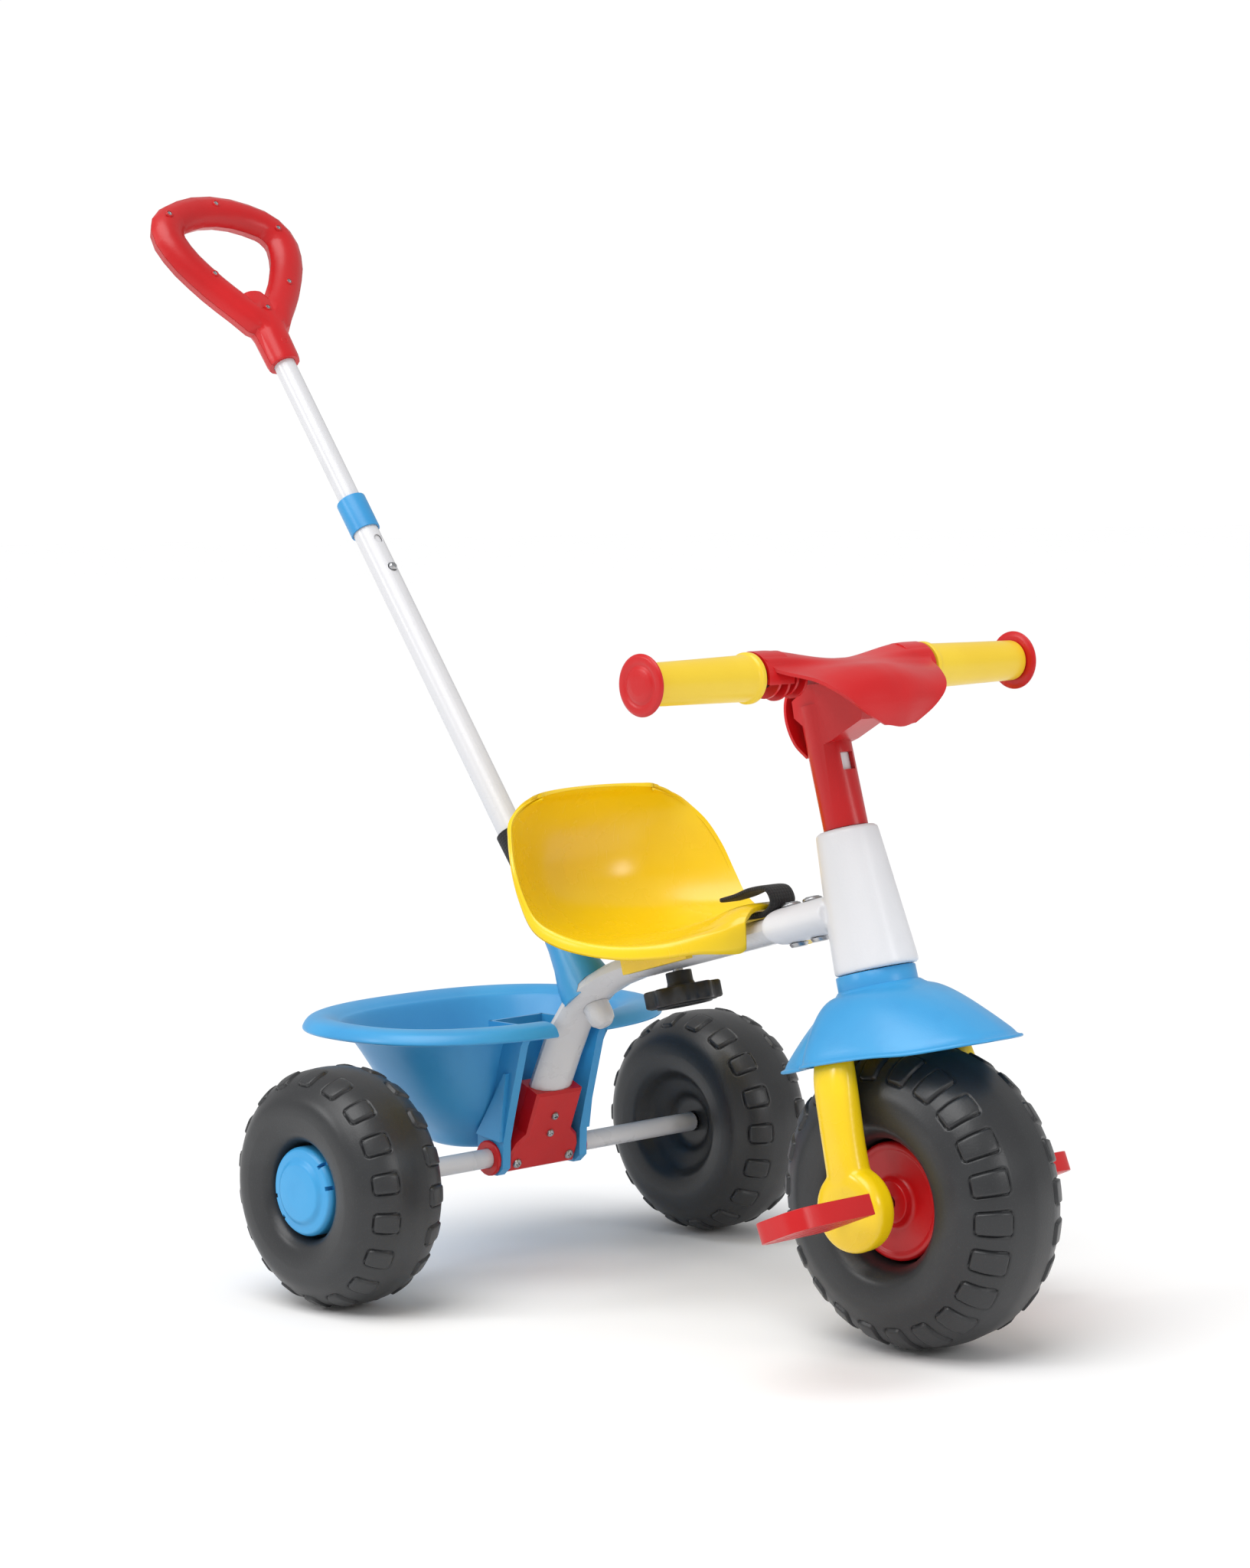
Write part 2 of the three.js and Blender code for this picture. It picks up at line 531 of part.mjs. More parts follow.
function handlebar() {
  const onBar = { x: BAR_FORWARD, z: BAR_HEIGHT };
  const tube = pipe(BAR_RADIUS, 6.1, -BAR_HALF_LENGTH, BAR_HALF_LENGTH);
  const pieces = [named("handlebar_tube", tube, STEEL, onBar)];
  const bore = BAR_RADIUS + GAP;
  const gripEnd = BAR_HALF_LENGTH - 0.4;
  [["right", Math.PI], ["left", 0]].forEach(([name, rz]) => {
    const collar = [[bore, GRIP_INNER_Y], [18, GRIP_INNER_Y], [18, GRIP_INNER_Y + 4], [16.4, GRIP_INNER_Y + 5]];
    const grip = turned([...collar, [14.6, gripEnd], [bore, gripEnd], [bore, GRIP_INNER_Y]]);
    const face = BAR_HALF_LENGTH + 0.2;
    const flange = turned([[0, face - 14], [5.8, face - 14], [5.8, face], [18, face], [21.3, face + 1.2],
      [21.3, face + 2.6], [19, face + 4], [12, face + 4.2], [11, face + 5.2], [0, face + 5.2]]);
    pieces.push(named(`grip_${name}`, grip, YELLOW, { ...onBar, rz }));
    pieces.push(named(`grip_end_${name}`, flange, RED, { ...onBar, rz }));
  });
  return pieces;
}

// The cover: a saddle over the bar that runs forward to a shield, a sleeve at each end,
// and a bib behind the stem.
function handlebarCover() {
  // middle [x, height] of the upper face, then edge [x, half width, height]
  const rows = [
    [[-3, 370], [3.6, 85, 373]],
    [[1, 377.5], [6, 85, 381]],
    [[10, 380.8], [13, 85, 386.6]],
    [[24, 381], [24, 85, 388.4]],
    [[38, 377.6], [36, 83, 382]],
    [[50, 372.6], [48, 70, 373]],
    [[63, 366], [62, 62, 358]],
    [[74, 356], [70, 58, 351]],
    [[78, 343], [75, 49, 341]],
    [[76, 331], [74, 35, 331]],
    [[72, 319.5], [71.5, 15, 321.5]],
  ];
  const across = 14;
  const at = (i, j) => {
    const t = (2 * i) / across - 1;
    const [mid, edge] = rows[j];
    const y = t * edge[1];
    const lift = Math.min(1, Math.abs(y) / Math.min(edge[1], 66)) ** 2.6;
    return new THREE.Vector3(mid[0] + (edge[0] - mid[0]) * lift, y, mid[1] + (edge[2] - mid[1]) * lift);
  };
  const sleeve = cut(
    join(pipe(18, 15.6, -85.4, -62, 24), pipe(18, 15.6, 62, 85.4, 24)),
    block(-30, 30, -90, 90, -30, -9),
  ).translate(BAR_FORWARD, 0, BAR_HEIGHT);
  // [x, height, half width]
  const bibRows = [[-19, 317, 6], [-21, 328, 13.5], [-22, 343, 16.5], [-21, 357, 15.5], [-15, 366, 15],
    [-2, 371.5, 15]];
  const bibAt = (i, j) => {
    const [x, height, half] = bibRows[j];
    return new THREE.Vector3(x, half * (i / 2 - 1), height);
  };
  const saddle = sheet(across, rows.length - 1, at, 2.4);
  return named("handlebar_cover", join(saddle, sleeve, sheet(4, 5, bibAt, 2.4)), RED);
}

// ---- front wheel, crank and pedals ----
function frontWheel() {
  const bore = CRANK_RADIUS + 0.2;
  const innerSide = [[bore, -13], [43, -13], [43.5, -26], [46, -38], [54, -47]];
  const outerSide = innerSide.map(([r, y]) => [r, -y]).reverse();
  const hollowInner = [[9, 10.2], [9, -10.2], [46, -10.2], [46.5, -25], [49.5, -36]];
  const hollowOuter = hollowInner.slice(2).map(([r, y]) => [r, -y]).reverse();
  const [radius, half] = [FRONT_WHEEL_RADIUS, FRONT_WHEEL_HALF_WIDTH];
  const wheel = hollowWheel(radius, half, innerSide, outerSide, hollowInner, hollowOuter, 74);
  const discProfile = [[bore, 13.4], [HUB_DISC_RADIUS, 13.4], [HUB_DISC_RADIUS, 27.5], [39, 29], [17, 29],
    [15, 33], [bore, 33], [bore, 13.4]];
  const disc = turned(discProfile, 24);
  return [
    named("front_wheel", wheel, CHARCOAL),
    named("hub_disc_left", disc, RED),
    named("hub_disc_right", disc.clone(), RED, { rz: Math.PI }),
    named("crank_axle", crank(), STEEL),
  ];
}

function crank() {
  const arm = (side) => new THREE.CapsuleGeometry(CRANK_RADIUS, CRANK_THROW, 3, 12).rotateZ(Math.PI / 2)
    .translate((-side * CRANK_THROW) / 2, side * CRANK_ARM_Y, 0);
  const pin = (side) => rod(CRANK_RADIUS, 0, PEDAL_INNER_Y + PEDAL_WIDTH - 6 - CRANK_ARM_Y, 12)
    .translate(0, CRANK_ARM_Y, 0).rotateZ(side > 0 ? 0 : Math.PI).translate(-side * CRANK_THROW, 0, 0);
  return join(rod(CRANK_RADIUS, -CRANK_ARM_Y, CRANK_ARM_Y, 12), arm(1), arm(-1), pin(1), pin(-1));
}

function pedal(side) {
  const [half, deep] = [PEDAL_DEPTH / 2, PEDAL_WIDTH];
  const shape = new THREE.Shape();
  shape.moveTo(-half, 0);
  shape.lineTo(half, 0);
  shape.lineTo(half + 1.5, deep * 0.55);
  shape.quadraticCurveTo(half, deep, half - 12, deep);
  shape.lineTo(-half + 12, deep);
  shape.quadraticCurveTo(-half, deep, -half - 1.5, deep * 0.55);
  const thick = { depth: PEDAL_THICKNESS, bevelEnabled: false, curveSegments: 5 };
  const plan = new THREE.ExtrudeGeometry(shape, thick);
  const body = plan.translate(0, 0, -PEDAL_THICKNESS / 2);
  const drilled = cut(body, rod(CRANK_RADIUS + 0.25, -5, deep - 4, 12));
  const placed = drilled.translate(0, PEDAL_INNER_Y, 0).rotateZ(side > 0 ? 0 : Math.PI);
  const place = { x: -side * CRANK_THROW, ry: -PEDAL_PITCH };
  return named(`pedal_${side > 0 ? "left" : "right"}`, placed, RED, place);
}

// ---- seat: slides along the straight part of the frame tube ----
const atSeatTube = { x: SEAT_CLAMP.x, z: SEAT_CLAMP.z, ry: -SEAT_TUBE_PITCH };
const onSeatTube = (geometry) => moved(geometry, atSeatTube);

function seatShell() {
  // middle [x, z], edge [x, half width, z] and skirt [dx, dy, dz] of the upper face,
  // from the back's top to the nose
  const rows = [
    [[71, 371], [76, 55, 368], [-1, 0.5, -2]],
    [[76, 376.5], [81, 56, 373.5], [-2.5, 1, -2]],
    [[66, 366], [84, 79, 366], [-3, 1, -1.5]],
    [[60, 353], [88, 92, 356], [-3, 1, -1.5]],
    [[56, 336], [97, 101, 343], [-3, 1, -2]],
    [[56, 316], [107, 107, 325], [-3, 1.5, -3]],
    [[62, 297], [118, 109, 305], [-3, 2, -5]],
    [[77, 281], [131, 108, 288], [-2, 3, -8]],
    [[98, 273], [151, 104, 279], [-1, 4, -9]],
    [[125, 270], [177, 98, 274], [0, 4, -9]],
    [[155, 273], [203, 88, 273], [1, 4, -10]],
    [[185, 280], [229, 75, 276], [2, 4, -11]],
    [[212, 288], [246, 60, 281], [3, 3, -13]],
    [[236, 297], [257, 46, 285], [3, 2, -17]],
    [[255, 302], [263, 35, 289], [3, 1, -21]],
    [[265, 301.3], [267, 30, 291], [1, 0.5, -20]],
  ];
  const across = 16;
  const at = (i, j) => {
    const inner = Math.min(Math.max(i - 1, 0), across - 2);
    const t = (2 * inner) / (across - 2) - 1;
    const [mid, edge, skirt] = rows[j];
    const blend = Math.abs(t) ** (j < 14 ? 2.3 : 5);
    const [x, z] = [mid[0] + (edge[0] - mid[0]) * blend, mid[1] + (edge[2] - mid[1]) * blend];
    const point = new THREE.Vector3(x, t * edge[1], z);
    const hem = i !== inner + 1;
    return hem ? point.add(new THREE.Vector3(skirt[0], Math.sign(t) * skirt[1], skirt[2])) : point;
  };
  return sheet(across, rows.length - 1, at, 3.2);
}

function seat() {
  const saddle = cut(
    block(-30, 40, -28, 28, -6.5, 12.6),
    block(-60, 80, -FRAME_HALF_WIDTH - 0.6, FRAME_HALF_WIDTH + 0.6, -20, FRAME_HALF_DEPTH + 0.5),
    upright(rod(4.3, -22, 22, 12)),
  );
  const stud = upright(rod(4, -16.5, 12.4, 12));
  const strapPath = [[244, 290.5], [255, 293.5], [265, 295.4], [271.8, 299.5], [274.5, 306], [268, 313.5],
    [252, 311.5], [237, 306], [223, 302]];
  const strap = sweep(strapPath, 12.5, 1.3, 8, 18);
  return [
    named("seat_shell", seatShell(), YELLOW),
    named("seat_saddle", saddle, YELLOW, atSeatTube),
    named("seat_stud", stud, STEEL, atSeatTube),
    named("crotch_strap", strap, WEBBING),
  ];
}

function seatKnob() {
  const lobes = 9;
  const star = new THREE.Shape();
  for (let i = 0; i < lobes * 4; i++) {
    const angle = (i / (lobes * 4)) * 2 * Math.PI;
    const radius = 27.5 + 1.6 * Math.cos(angle * lobes);
    const [x, y] = [radius * Math.cos(angle), radius * Math.sin(angle)];
    if (i === 0) star.moveTo(x, y);
    else star.lineTo(x, y);
  }
  star.closePath();
  const disc = new THREE.ExtrudeGeometry(star, { depth: 13, bevelEnabled: false }).translate(0, 0, -36);
  const neck = upright(rod(9.8, 11.5, 24, 20).rotateX(Math.PI));
  const hole = upright(rod(4.2, 0, 17, 12).rotateX(Math.PI));
  return named("seat_knob", cut(join(disc, neck), hole), BLACK, atSeatTube);
}

// ---- push pole: local +Y up the pole ----
const onPole = (geometry) => {
  const leaning = geometry.rotateX(Math.PI / 2).rotateY(-POLE_LEAN);
  return leaning.translate(POLE_FOOT.x, 0, POLE_FOOT.z);
};

function poleSocket() {
  const sleeve = turned([[0, -2], [23, -2], [21, 14], [17, 30], [14.5, 46], [14, 54], [0, 54]]);
  const bore = rod(POLE_RADIUS + 0.25, -20, 70, 20);
  const tube = frameTubeSolid(GAP);
  const lug = turned([[0, -27], [6, -26.4], [9.4, -23], [10.5, -18], [10.5, 0], [0, 0]], 20);
  return [
    named("pole_socket", cut(onPole(sleeve), onPole(bore), tube), BLUE),
    named("socket_lug", cut(onPole(lug), tube), WHITE_STEEL),
  ];
}

function lowerPole() {
  const top = POLE_JOINT + 20;
  const tube = pipe(POLE_RADIUS, POLE_RADIUS - POLE_WALL, POLE_BOTTOM, top);
  const button = moved(rod(4, 0, 30, 12), { y: BUTTON_HEIGHT, rz: -Math.PI / 2 });
  const nextHole = moved(rod(4, 0, 30, 12), { y: BUTTON_HEIGHT + 28, rz: -Math.PI / 2 });
  const stop = moved(turned([[0, 11], [3.4, 11], [3.2, 12.6], [0, 13.2]], 12), { y: 63, rx: Math.PI / 2 });
  const [inside, room] = [POLE_RADIUS + GAP, UPPER_POLE_RADIUS + GAP];
  const collarProfile = [[inside, POLE_JOINT], [12.2, POLE_JOINT], [12.2, POLE_JOINT + 31],
    [room, POLE_JOINT + 31], [room, top + GAP], [inside, top + GAP], [inside, POLE_JOINT]];
  const collar = turned(collarProfile, 24);
  return [
    named("pole_lower_tube", onPole(cut(tube, button, nextHole)), WHITE_STEEL),
    named("pole_stop_stud", onPole(stop), STEEL),
    named("pole_collar", onPole(collar), BLUE),
  ];
}

function upperPole() {
  const tube = pipe(UPPER_POLE_RADIUS, UPPER_POLE_RADIUS - POLE_WALL, BUTTON_HEIGHT - 30, HANDLE_FOOT + 34);
  const button = moved(rod(3.9, 0, 30, 12), { y: BUTTON_HEIGHT, rz: -Math.PI / 2 });
  return [named("pole_upper_tube", onPole(cut(tube, button)), WHITE_STEEL), ...handle()];
}

function snapButton() {
  const pin = turned([[0, 6.5], [3.5, 6.5], [3.5, 11.6], [2.4, 12.8], [0, 13.2]], 12);
  return named("snap_button", onPole(moved(pin, { y: BUTTON_HEIGHT, rz: -Math.PI / 2 })), STEEL);
}

// The grip loop: a teardrop of fat oval section, in two shells that meet on its middle plane.
function handle() {
  const path = [[0, 38], [22, 60], [42, 86], [56, 114], [56, 137], [38, 152], [0, 160], [-38, 152],
    [-56, 137], [-56, 114], [-42, 86], [-22, 60]];
  const points = path.map(([y, h]) => new THREE.Vector3(y, h, 0));
  const curve = new THREE.CatmullRomCurve3(points, true, "catmullrom", 0.6);
  const steps = 28;
  const rings = [];
  for (let k = 0; k < steps; k++) {
    const centre = curve.getPoint(k / steps);
    const side = curve.getTangent(k / steps).cross(new THREE.Vector3(0, 0, 1));
    const section = [];
    for (let i = 0; i < 10; i++) {
      const angle = (i / 10) * 2 * Math.PI;
      const point = centre.clone().addScaledVector(side, 14.6 * Math.cos(angle));
      section.push(point.setZ(12.5 * Math.sin(angle)));
    }
    rings.push(section);
  }
  const neck = loft([
    [0, 13.4, 12.2], [4, 14, 12.8], [30, 15, 12.8], [50, 23, 12],
  ].map(([h, wide, deep]) => ring(0, h, wide, deep, 2.2, 16))).rotateX(-Math.PI / 2);
  const gusset = loft([
    [46, 20, 11], [62, 17, 9], [72, 10, 7],
  ].map(([h, wide, deep]) => ring(0, h, wide, deep, 2.4, 16))).rotateX(-Math.PI / 2);
  const socket = rod(UPPER_POLE_RADIUS + GAP, -5, 35, 20);
  const whole = cut(join(loft(rings, true), neck, gusset), socket);
  const seat = { y: HANDLE_FOOT, ry: Math.PI / 2 };
  const half = (z0, z1) => onPole(moved(common(whole, block(-90, 90, -20, 200, z0, z1)), seat));
  return [
    named("handle_front_shell", half(GAP / 2, 30), RED),
    named("handle_rear_shell", half(-30, -GAP / 2), RED),
  ];
}

function poleBand() {
  const band = pipe(12.6, POLE_RADIUS + 0.4, 100, 148);
  return named("pole_band", onPole(band), WEBBING);
}

const tricycle = new THREE.Group();
tricycle.position.x = -MIDDLE_X;
tricycle.add(
  named("main_frame_tube", mainFrameTube(), WHITE_STEEL),
  ...bracket(),
  ...rearAxle(),
  headHousing(),
  ...headBolts(),
  rearWheel(-1),
  rearWheel(1),
  bucket(),
  ...seat(),
  seatKnob(),
  ...poleSocket(),
  ...lowerPole(),
  ...upperPole(),
  snapButton(),
  poleBand(),
  group(
    atSteering,
    fork(),
    mudguard(),
    steeringColumn(),
    stem(),
    ...handlebar(),
    handlebarCover(),
    ...frontWheel(),
    pedal(-1),
    pedal(1),
  ),
);

export default tricycle;
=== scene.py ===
"""A children's tricycle: its looks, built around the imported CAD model.

The scene is in metres, and the lengths in the tables are in millimetres.
"""

import json
import math

import bmesh
import bpy
import numpy as np
from mathutils import Matrix, Vector


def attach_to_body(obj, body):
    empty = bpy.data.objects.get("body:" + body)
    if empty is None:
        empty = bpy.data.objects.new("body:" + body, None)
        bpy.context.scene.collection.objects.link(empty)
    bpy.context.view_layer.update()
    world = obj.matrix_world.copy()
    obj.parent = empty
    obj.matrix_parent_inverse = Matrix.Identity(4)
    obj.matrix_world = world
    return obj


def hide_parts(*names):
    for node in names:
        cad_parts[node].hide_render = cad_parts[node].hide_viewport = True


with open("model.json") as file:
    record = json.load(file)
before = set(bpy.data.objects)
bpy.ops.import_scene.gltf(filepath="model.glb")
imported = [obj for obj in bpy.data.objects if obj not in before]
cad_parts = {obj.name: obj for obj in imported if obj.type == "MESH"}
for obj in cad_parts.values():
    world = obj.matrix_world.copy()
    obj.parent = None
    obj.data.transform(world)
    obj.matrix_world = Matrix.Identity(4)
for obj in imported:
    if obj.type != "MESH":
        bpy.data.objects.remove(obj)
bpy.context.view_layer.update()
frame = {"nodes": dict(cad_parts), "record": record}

# ---- local frames: millimetres in, metres in the row frame out ----
MM = 0.001
MIDDLE_X = 59.56
REAR_RADIUS, REAR_HALF, TRACK = 90.0, 41.3, 192.0
FRONT_RADIUS, FRONT_HALF = 107.0, 48.6
BAR_X, BAR_Z = 21.4, 370.4
HANDLE_FOOT = 604.5
COLUMN_BORE, AXLE_BORE, CRANK_BORE = 12.8, 10.7, 4.65
SEAT_TOP = 376.3


def place(x=0.0, y=0.0, z=0.0, pitch=0.0, turn=0.0):
    """A frame at (x, y, z), its +X raised by pitch degrees, after a turn about its own upright axis."""
    spot = Matrix.Scale(MM, 4) @ Matrix.Translation((x - MIDDLE_X, y, z))
    return spot @ Matrix.Rotation(math.radians(-pitch), 4, "Y") @ Matrix.Rotation(math.radians(turn), 4, "Z")


LEVEL = place()
STEER = place(406, 0, 107, 15)
SEAT_CLAMP = place(163, 0, 255.4, 15)
POLE = place(70, 0, 217.6, 36.1)
BRACKET = place(0, 0, 90, -math.degrees(math.atan2(22, 53)))
HEAD_TUBE = place(173, 0, 258, 15)


# ---- materials ----
class Nodes:
    """A material's node tree, with short calls for the nodes that the finishes share."""

    def __init__(self, name):
        self.material = bpy.data.materials.new(name)
        self.material.use_nodes = True
        self.tree = self.material.node_tree
        self.shader = self.tree.nodes["Principled BSDF"]
        self.coords = self.tree.nodes.new("ShaderNodeTexCoord").outputs["Object"]

    def new(self, kind, **values):
        node = self.tree.nodes.new(kind)
        for key, value in values.items():
            setattr(node, key, value)
        return node

    def link(self, a, b):
        self.tree.links.new(a, b)

    def noise(self, scale, detail=3.0, stretch=(1, 1, 1), distortion=0.0):
        mapping = self.new("ShaderNodeMapping")
        mapping.inputs["Scale"].default_value = stretch
        self.link(self.coords, mapping.inputs["Vector"])
        node = self.new("ShaderNodeTexNoise")
        node.inputs["Scale"].default_value = scale
        node.inputs["Detail"].default_value = detail
        node.inputs["Distortion"].default_value = distortion
        self.link(mapping.outputs["Vector"], node.inputs["Vector"])
        return node.outputs["Fac"]

    def ranged(self, value, low, high, from_low=0.0, from_high=1.0):
        node = self.new("ShaderNodeMapRange")
        limits = {"From Min": from_low, "From Max": from_high, "To Min": low, "To Max": high}
        for key, number in limits.items():
            node.inputs[key].default_value = number
        self.link(value, node.inputs["Value"])
        return node.outputs["Result"]

    def math(self, operation, a, b):
        node = self.new("ShaderNodeMath", operation=operation)
        for socket, value in zip(node.inputs, (a, b)):
            if isinstance(value, (int, float)):
                socket.default_value = value
            else:
                self.link(value, socket)
        return node.outputs[0]

    def mix(self, factor, a, b):
        node = self.new("ShaderNodeMix", data_type="RGBA")
        self.link(factor, node.inputs["Factor"])
        for socket, value in ((node.inputs[6], a), (node.inputs[7], b)):
            if isinstance(value, tuple):
                socket.default_value = (*value, 1)
            else:
                self.link(value, socket)
        return node.outputs[2]

    def bump(self, height, strength, distance, under=None):
        node = self.new("ShaderNodeBump")
        node.inputs["Strength"].default_value = strength
        node.inputs["Distance"].default_value = distance
        self.link(height, node.inputs["Height"])
        if under is not None:
            self.link(under, node.inputs["Normal"])
        return node.outputs["Normal"]

    def finish(self, colour=None, roughness=None, normal=None, **constants):
        for key, value in (("Base Color", colour), ("Roughness", roughness), ("Normal", normal)):
            if value is not None:
                self.link(value, self.shader.inputs[key])
        for key, value in constants.items():
            self.shader.inputs[key.replace("_", " ")].default_value = value
        return self.material


def linear(red, green, blue):
    """8-bit sRGB to linear."""
    shares = (red / 255, green / 255, blue / 255)
    return tuple(c / 12.92 if c <= 0.04 else ((c + 0.055) / 1.055) ** 2.4 for c in shares)


def moulded(name, colour, deep, rough, grain=0.12, coat=0.0):
    """Injection-moulded plastic: faint flow in the colour, an eggshell skin and fine handling scratches."""
    n = Nodes(name)
    flow = n.ranged(n.noise(7, 2, distortion=0.6), 0, 1, 0.35, 0.68)
    dust = n.ranged(n.noise(60, 4), 0, 0.35, 0.5, 0.85)
    shade = n.mix(flow, linear(*colour), linear(*deep))
    shade = n.mix(dust, shade, linear(*deep))
    scratches = n.ranged(n.noise(90, 2, (1, 9, 0.7), 0.4), 0, 1, 0.68, 0.74)
    satin = n.ranged(n.noise(26, 5), rough - 0.05, rough + 0.07)
    roughness = n.math("ADD", satin, n.math("MULTIPLY", scratches, 0.06))
    skin = n.bump(n.noise(520, 4), grain, 0.0006)
    wavy = n.bump(n.noise(38, 2), 0.06, 0.004, skin)
    return n.finish(shade, roughness, wavy, IOR=1.48, Coat_Weight=coat, Coat_Roughness=0.18)


def tyre_plastic():
    """Blow-moulded charcoal plastic with a fine pebbled skin, paler where it has been scuffed."""
    n = Nodes("tyre_plastic")
    scuffs = n.ranged(n.noise(16, 5, (1, 1, 1.6), 0.3), 0, 1, 0.5, 0.85)
    shade = n.mix(scuffs, linear(38, 39, 41), linear(48, 50, 52))
    specks = n.ranged(n.noise(900, 2), 0, 0.5, 0.6, 0.8)
    shade = n.mix(specks, shade, linear(62, 64, 66))
    roughness = n.ranged(n.noise(22, 4), 0.33, 0.42)
    pebbles = n.bump(n.noise(700, 3), 0.16, 0.0005)
    return n.finish(shade, roughness, n.bump(n.noise(18, 1), 0.05, 0.004, pebbles), IOR=1.5)


def painted_steel():
    """White powder coat: orange peel, faint grey handling marks."""
    n = Nodes("white_enamel")
    marks = n.ranged(n.noise(30, 6, (1, 1, 0.5), 0.8), 0, 0.7, 0.6, 0.9)
    shade = n.mix(marks, linear(214, 214, 217), linear(194, 194, 197))
    roughness = n.ranged(n.noise(45, 4), 0.22, 0.34)
    peel = n.bump(n.noise(330, 2), 0.12, 0.0008)
    return n.finish(shade, roughness, peel, IOR=1.5, Coat_Weight=0.25, Coat_Roughness=0.15)


def plated_steel():
    """Bright zinc plate with a brushed direction and dull patches."""
    n = Nodes("zinc_plate")
    patches = n.ranged(n.noise(55, 5), 0, 1, 0.35, 0.7)
    shade = n.mix(patches, linear(188, 189, 191), linear(150, 152, 156))
    brushed = n.noise(420, 3, (1, 0.08, 1))
    roughness = n.math("ADD", n.ranged(brushed, 0.2, 0.36), n.math("MULTIPLY", patches, 0.08))
    return n.finish(shade, roughness, n.bump(brushed, 0.15, 0.0003), Metallic=1.0)


def webbing():
    """Black woven webbing: a herringbone of warp and weft from the strap's own run, with loose fibres."""
    n = Nodes("black_webbing")
    run = n.new("ShaderNodeAttribute", attribute_name="run").outputs["Vector"]
    split = n.new("ShaderNodeSeparateXYZ")
    n.link(run, split.inputs[0])
    along = n.math("MULTIPLY", split.outputs[0], 2 * math.pi / 0.0022)
    over = n.math("MULTIPLY", split.outputs[1], 2 * math.pi / 0.0028)
    zigzag = n.math("ADD", along, n.math("MULTIPLY", n.math("ABSOLUTE", n.math("SINE", over, 0), 0), 3.0))
    ribs = n.ranged(n.math("SINE", zigzag, 0), 0, 1, -1, 1)
    warp = n.ranged(n.math("SINE", over, 0), 0, 1, -1, 1)
    weave = n.math("ADD", n.math("MULTIPLY", ribs, 0.6), n.math("MULTIPLY", warp, 0.4))
    fibres = n.ranged(n.noise(1400, 2), 0, 1, 0.45, 0.8)
    shade = n.mix(weave, linear(10, 10, 11), linear(27, 27, 29))
    shade = n.mix(n.math("MULTIPLY", fibres, 0.3), shade, linear(48, 48, 50))
    normal = n.bump(fibres, 0.2, 0.0003, n.bump(weave, 0.7, 0.0006))
    return n.finish(shade, n.ranged(fibres, 0.78, 0.92), normal, Sheen_Weight=0.1, Sheen_Roughness=0.5)


RED = moulded("red_plastic", (204, 16, 22), (184, 10, 16), 0.33)
BLUE = moulded("blue_plastic", (62, 158, 214), (48, 140, 200), 0.34)
YELLOW = moulded("yellow_plastic", (244, 208, 14), (236, 196, 8), 0.26, grain=0.04, coat=0.2)
GRIP = moulded("grip_plastic", (238, 204, 52), (230, 192, 40), 0.3)
WHITE = moulded("white_plastic", (228, 228, 231), (212, 213, 216), 0.34, coat=0.1)
BLACK = moulded("black_plastic", (24, 24, 25), (36, 36, 38), 0.42, grain=0.25)
TYRE = tyre_plastic()
ENAMEL = painted_steel()
ZINC = plated_steel()
WEBBING = webbing()


# ---- mesh tools ----
def build(name, points, faces, matrix, sharp=32.0, closed=True):
    """An object from local points; closed ones get their faces turned outwards."""
    points = np.asarray(points, float).reshape(-1, 3)
    turn = np.array(matrix)
    mesh = bpy.data.meshes.new(name)
    mesh.from_pydata((points @ turn[:3, :3].T + turn[:3, 3]).tolist(), [], faces)
    work = bmesh.new()
    work.from_mesh(mesh)
    bmesh.ops.remove_doubles(work, verts=work.verts, dist=2e-6)
    if closed:
        bmesh.ops.recalc_face_normals(work, faces=work.faces)
    work.to_mesh(mesh)
    work.free()
    mesh.shade_smooth()
    mesh.set_sharp_from_angle(angle=math.radians(sharp))
    made = bpy.data.objects.new(name, mesh)
    bpy.context.scene.collection.objects.link(made)
    return made


def grid_faces(rows, columns, wrap_rows=False, wrap_columns=False, first=0):
    """Quads of a grid of points, row after row."""
    faces = []
    for i in range(rows if wrap_rows else rows - 1):
        for j in range(columns if wrap_columns else columns - 1):
            a, b = i * columns + j, i * columns + (j + 1) % columns
            c, d = ((i + 1) % rows) * columns + (j + 1) % columns, ((i + 1) % rows) * columns + j
            faces.append([first + a, first + b, first + c, first + d])
    return faces


def smooth_rows(rows, count):
    """Catmull-Rom through the rows of a table, each row a list of numbers."""
    rows = np.asarray(rows, float)
    padded = np.vstack([2 * rows[0] - rows[1], rows, 2 * rows[-1] - rows[-2]])
    out = []
    for s in np.linspace(0, len(rows) - 1, count):
        k = min(int(s), len(rows) - 2)
        t = s - k
        a, b, c, d = padded[k : k + 4]
        curve = 2 * b + (c - a) * t + (2 * a - 5 * b + 4 * c - d) * t**2
        out.append(0.5 * (curve + (3 * b - a - 3 * c + d) * t**3))
    return np.array(out)


def rounded(profile, radius, steps=4):
    """A [radius, y] profile with its inner corners rounded."""
    profile = [np.array(p, float) for p in profile]
    out = [profile[0]]
    for before, corner, after in zip(profile, profile[1:], profile[2:]):
        back, ahead = before - corner, after - corner
        reach = min(radius, 0.45 * np.linalg.norm(back), 0.45 * np.linalg.norm(ahead))
        p, q = corner + back / np.linalg.norm(back) * reach, corner + ahead / np.linalg.norm(ahead) * reach
        for t in np.linspace(0, 1, steps):
            out.append((1 - t) ** 2 * p + 2 * t * (1 - t) * corner + t**2 * q)
    return out + [profile[-1]]


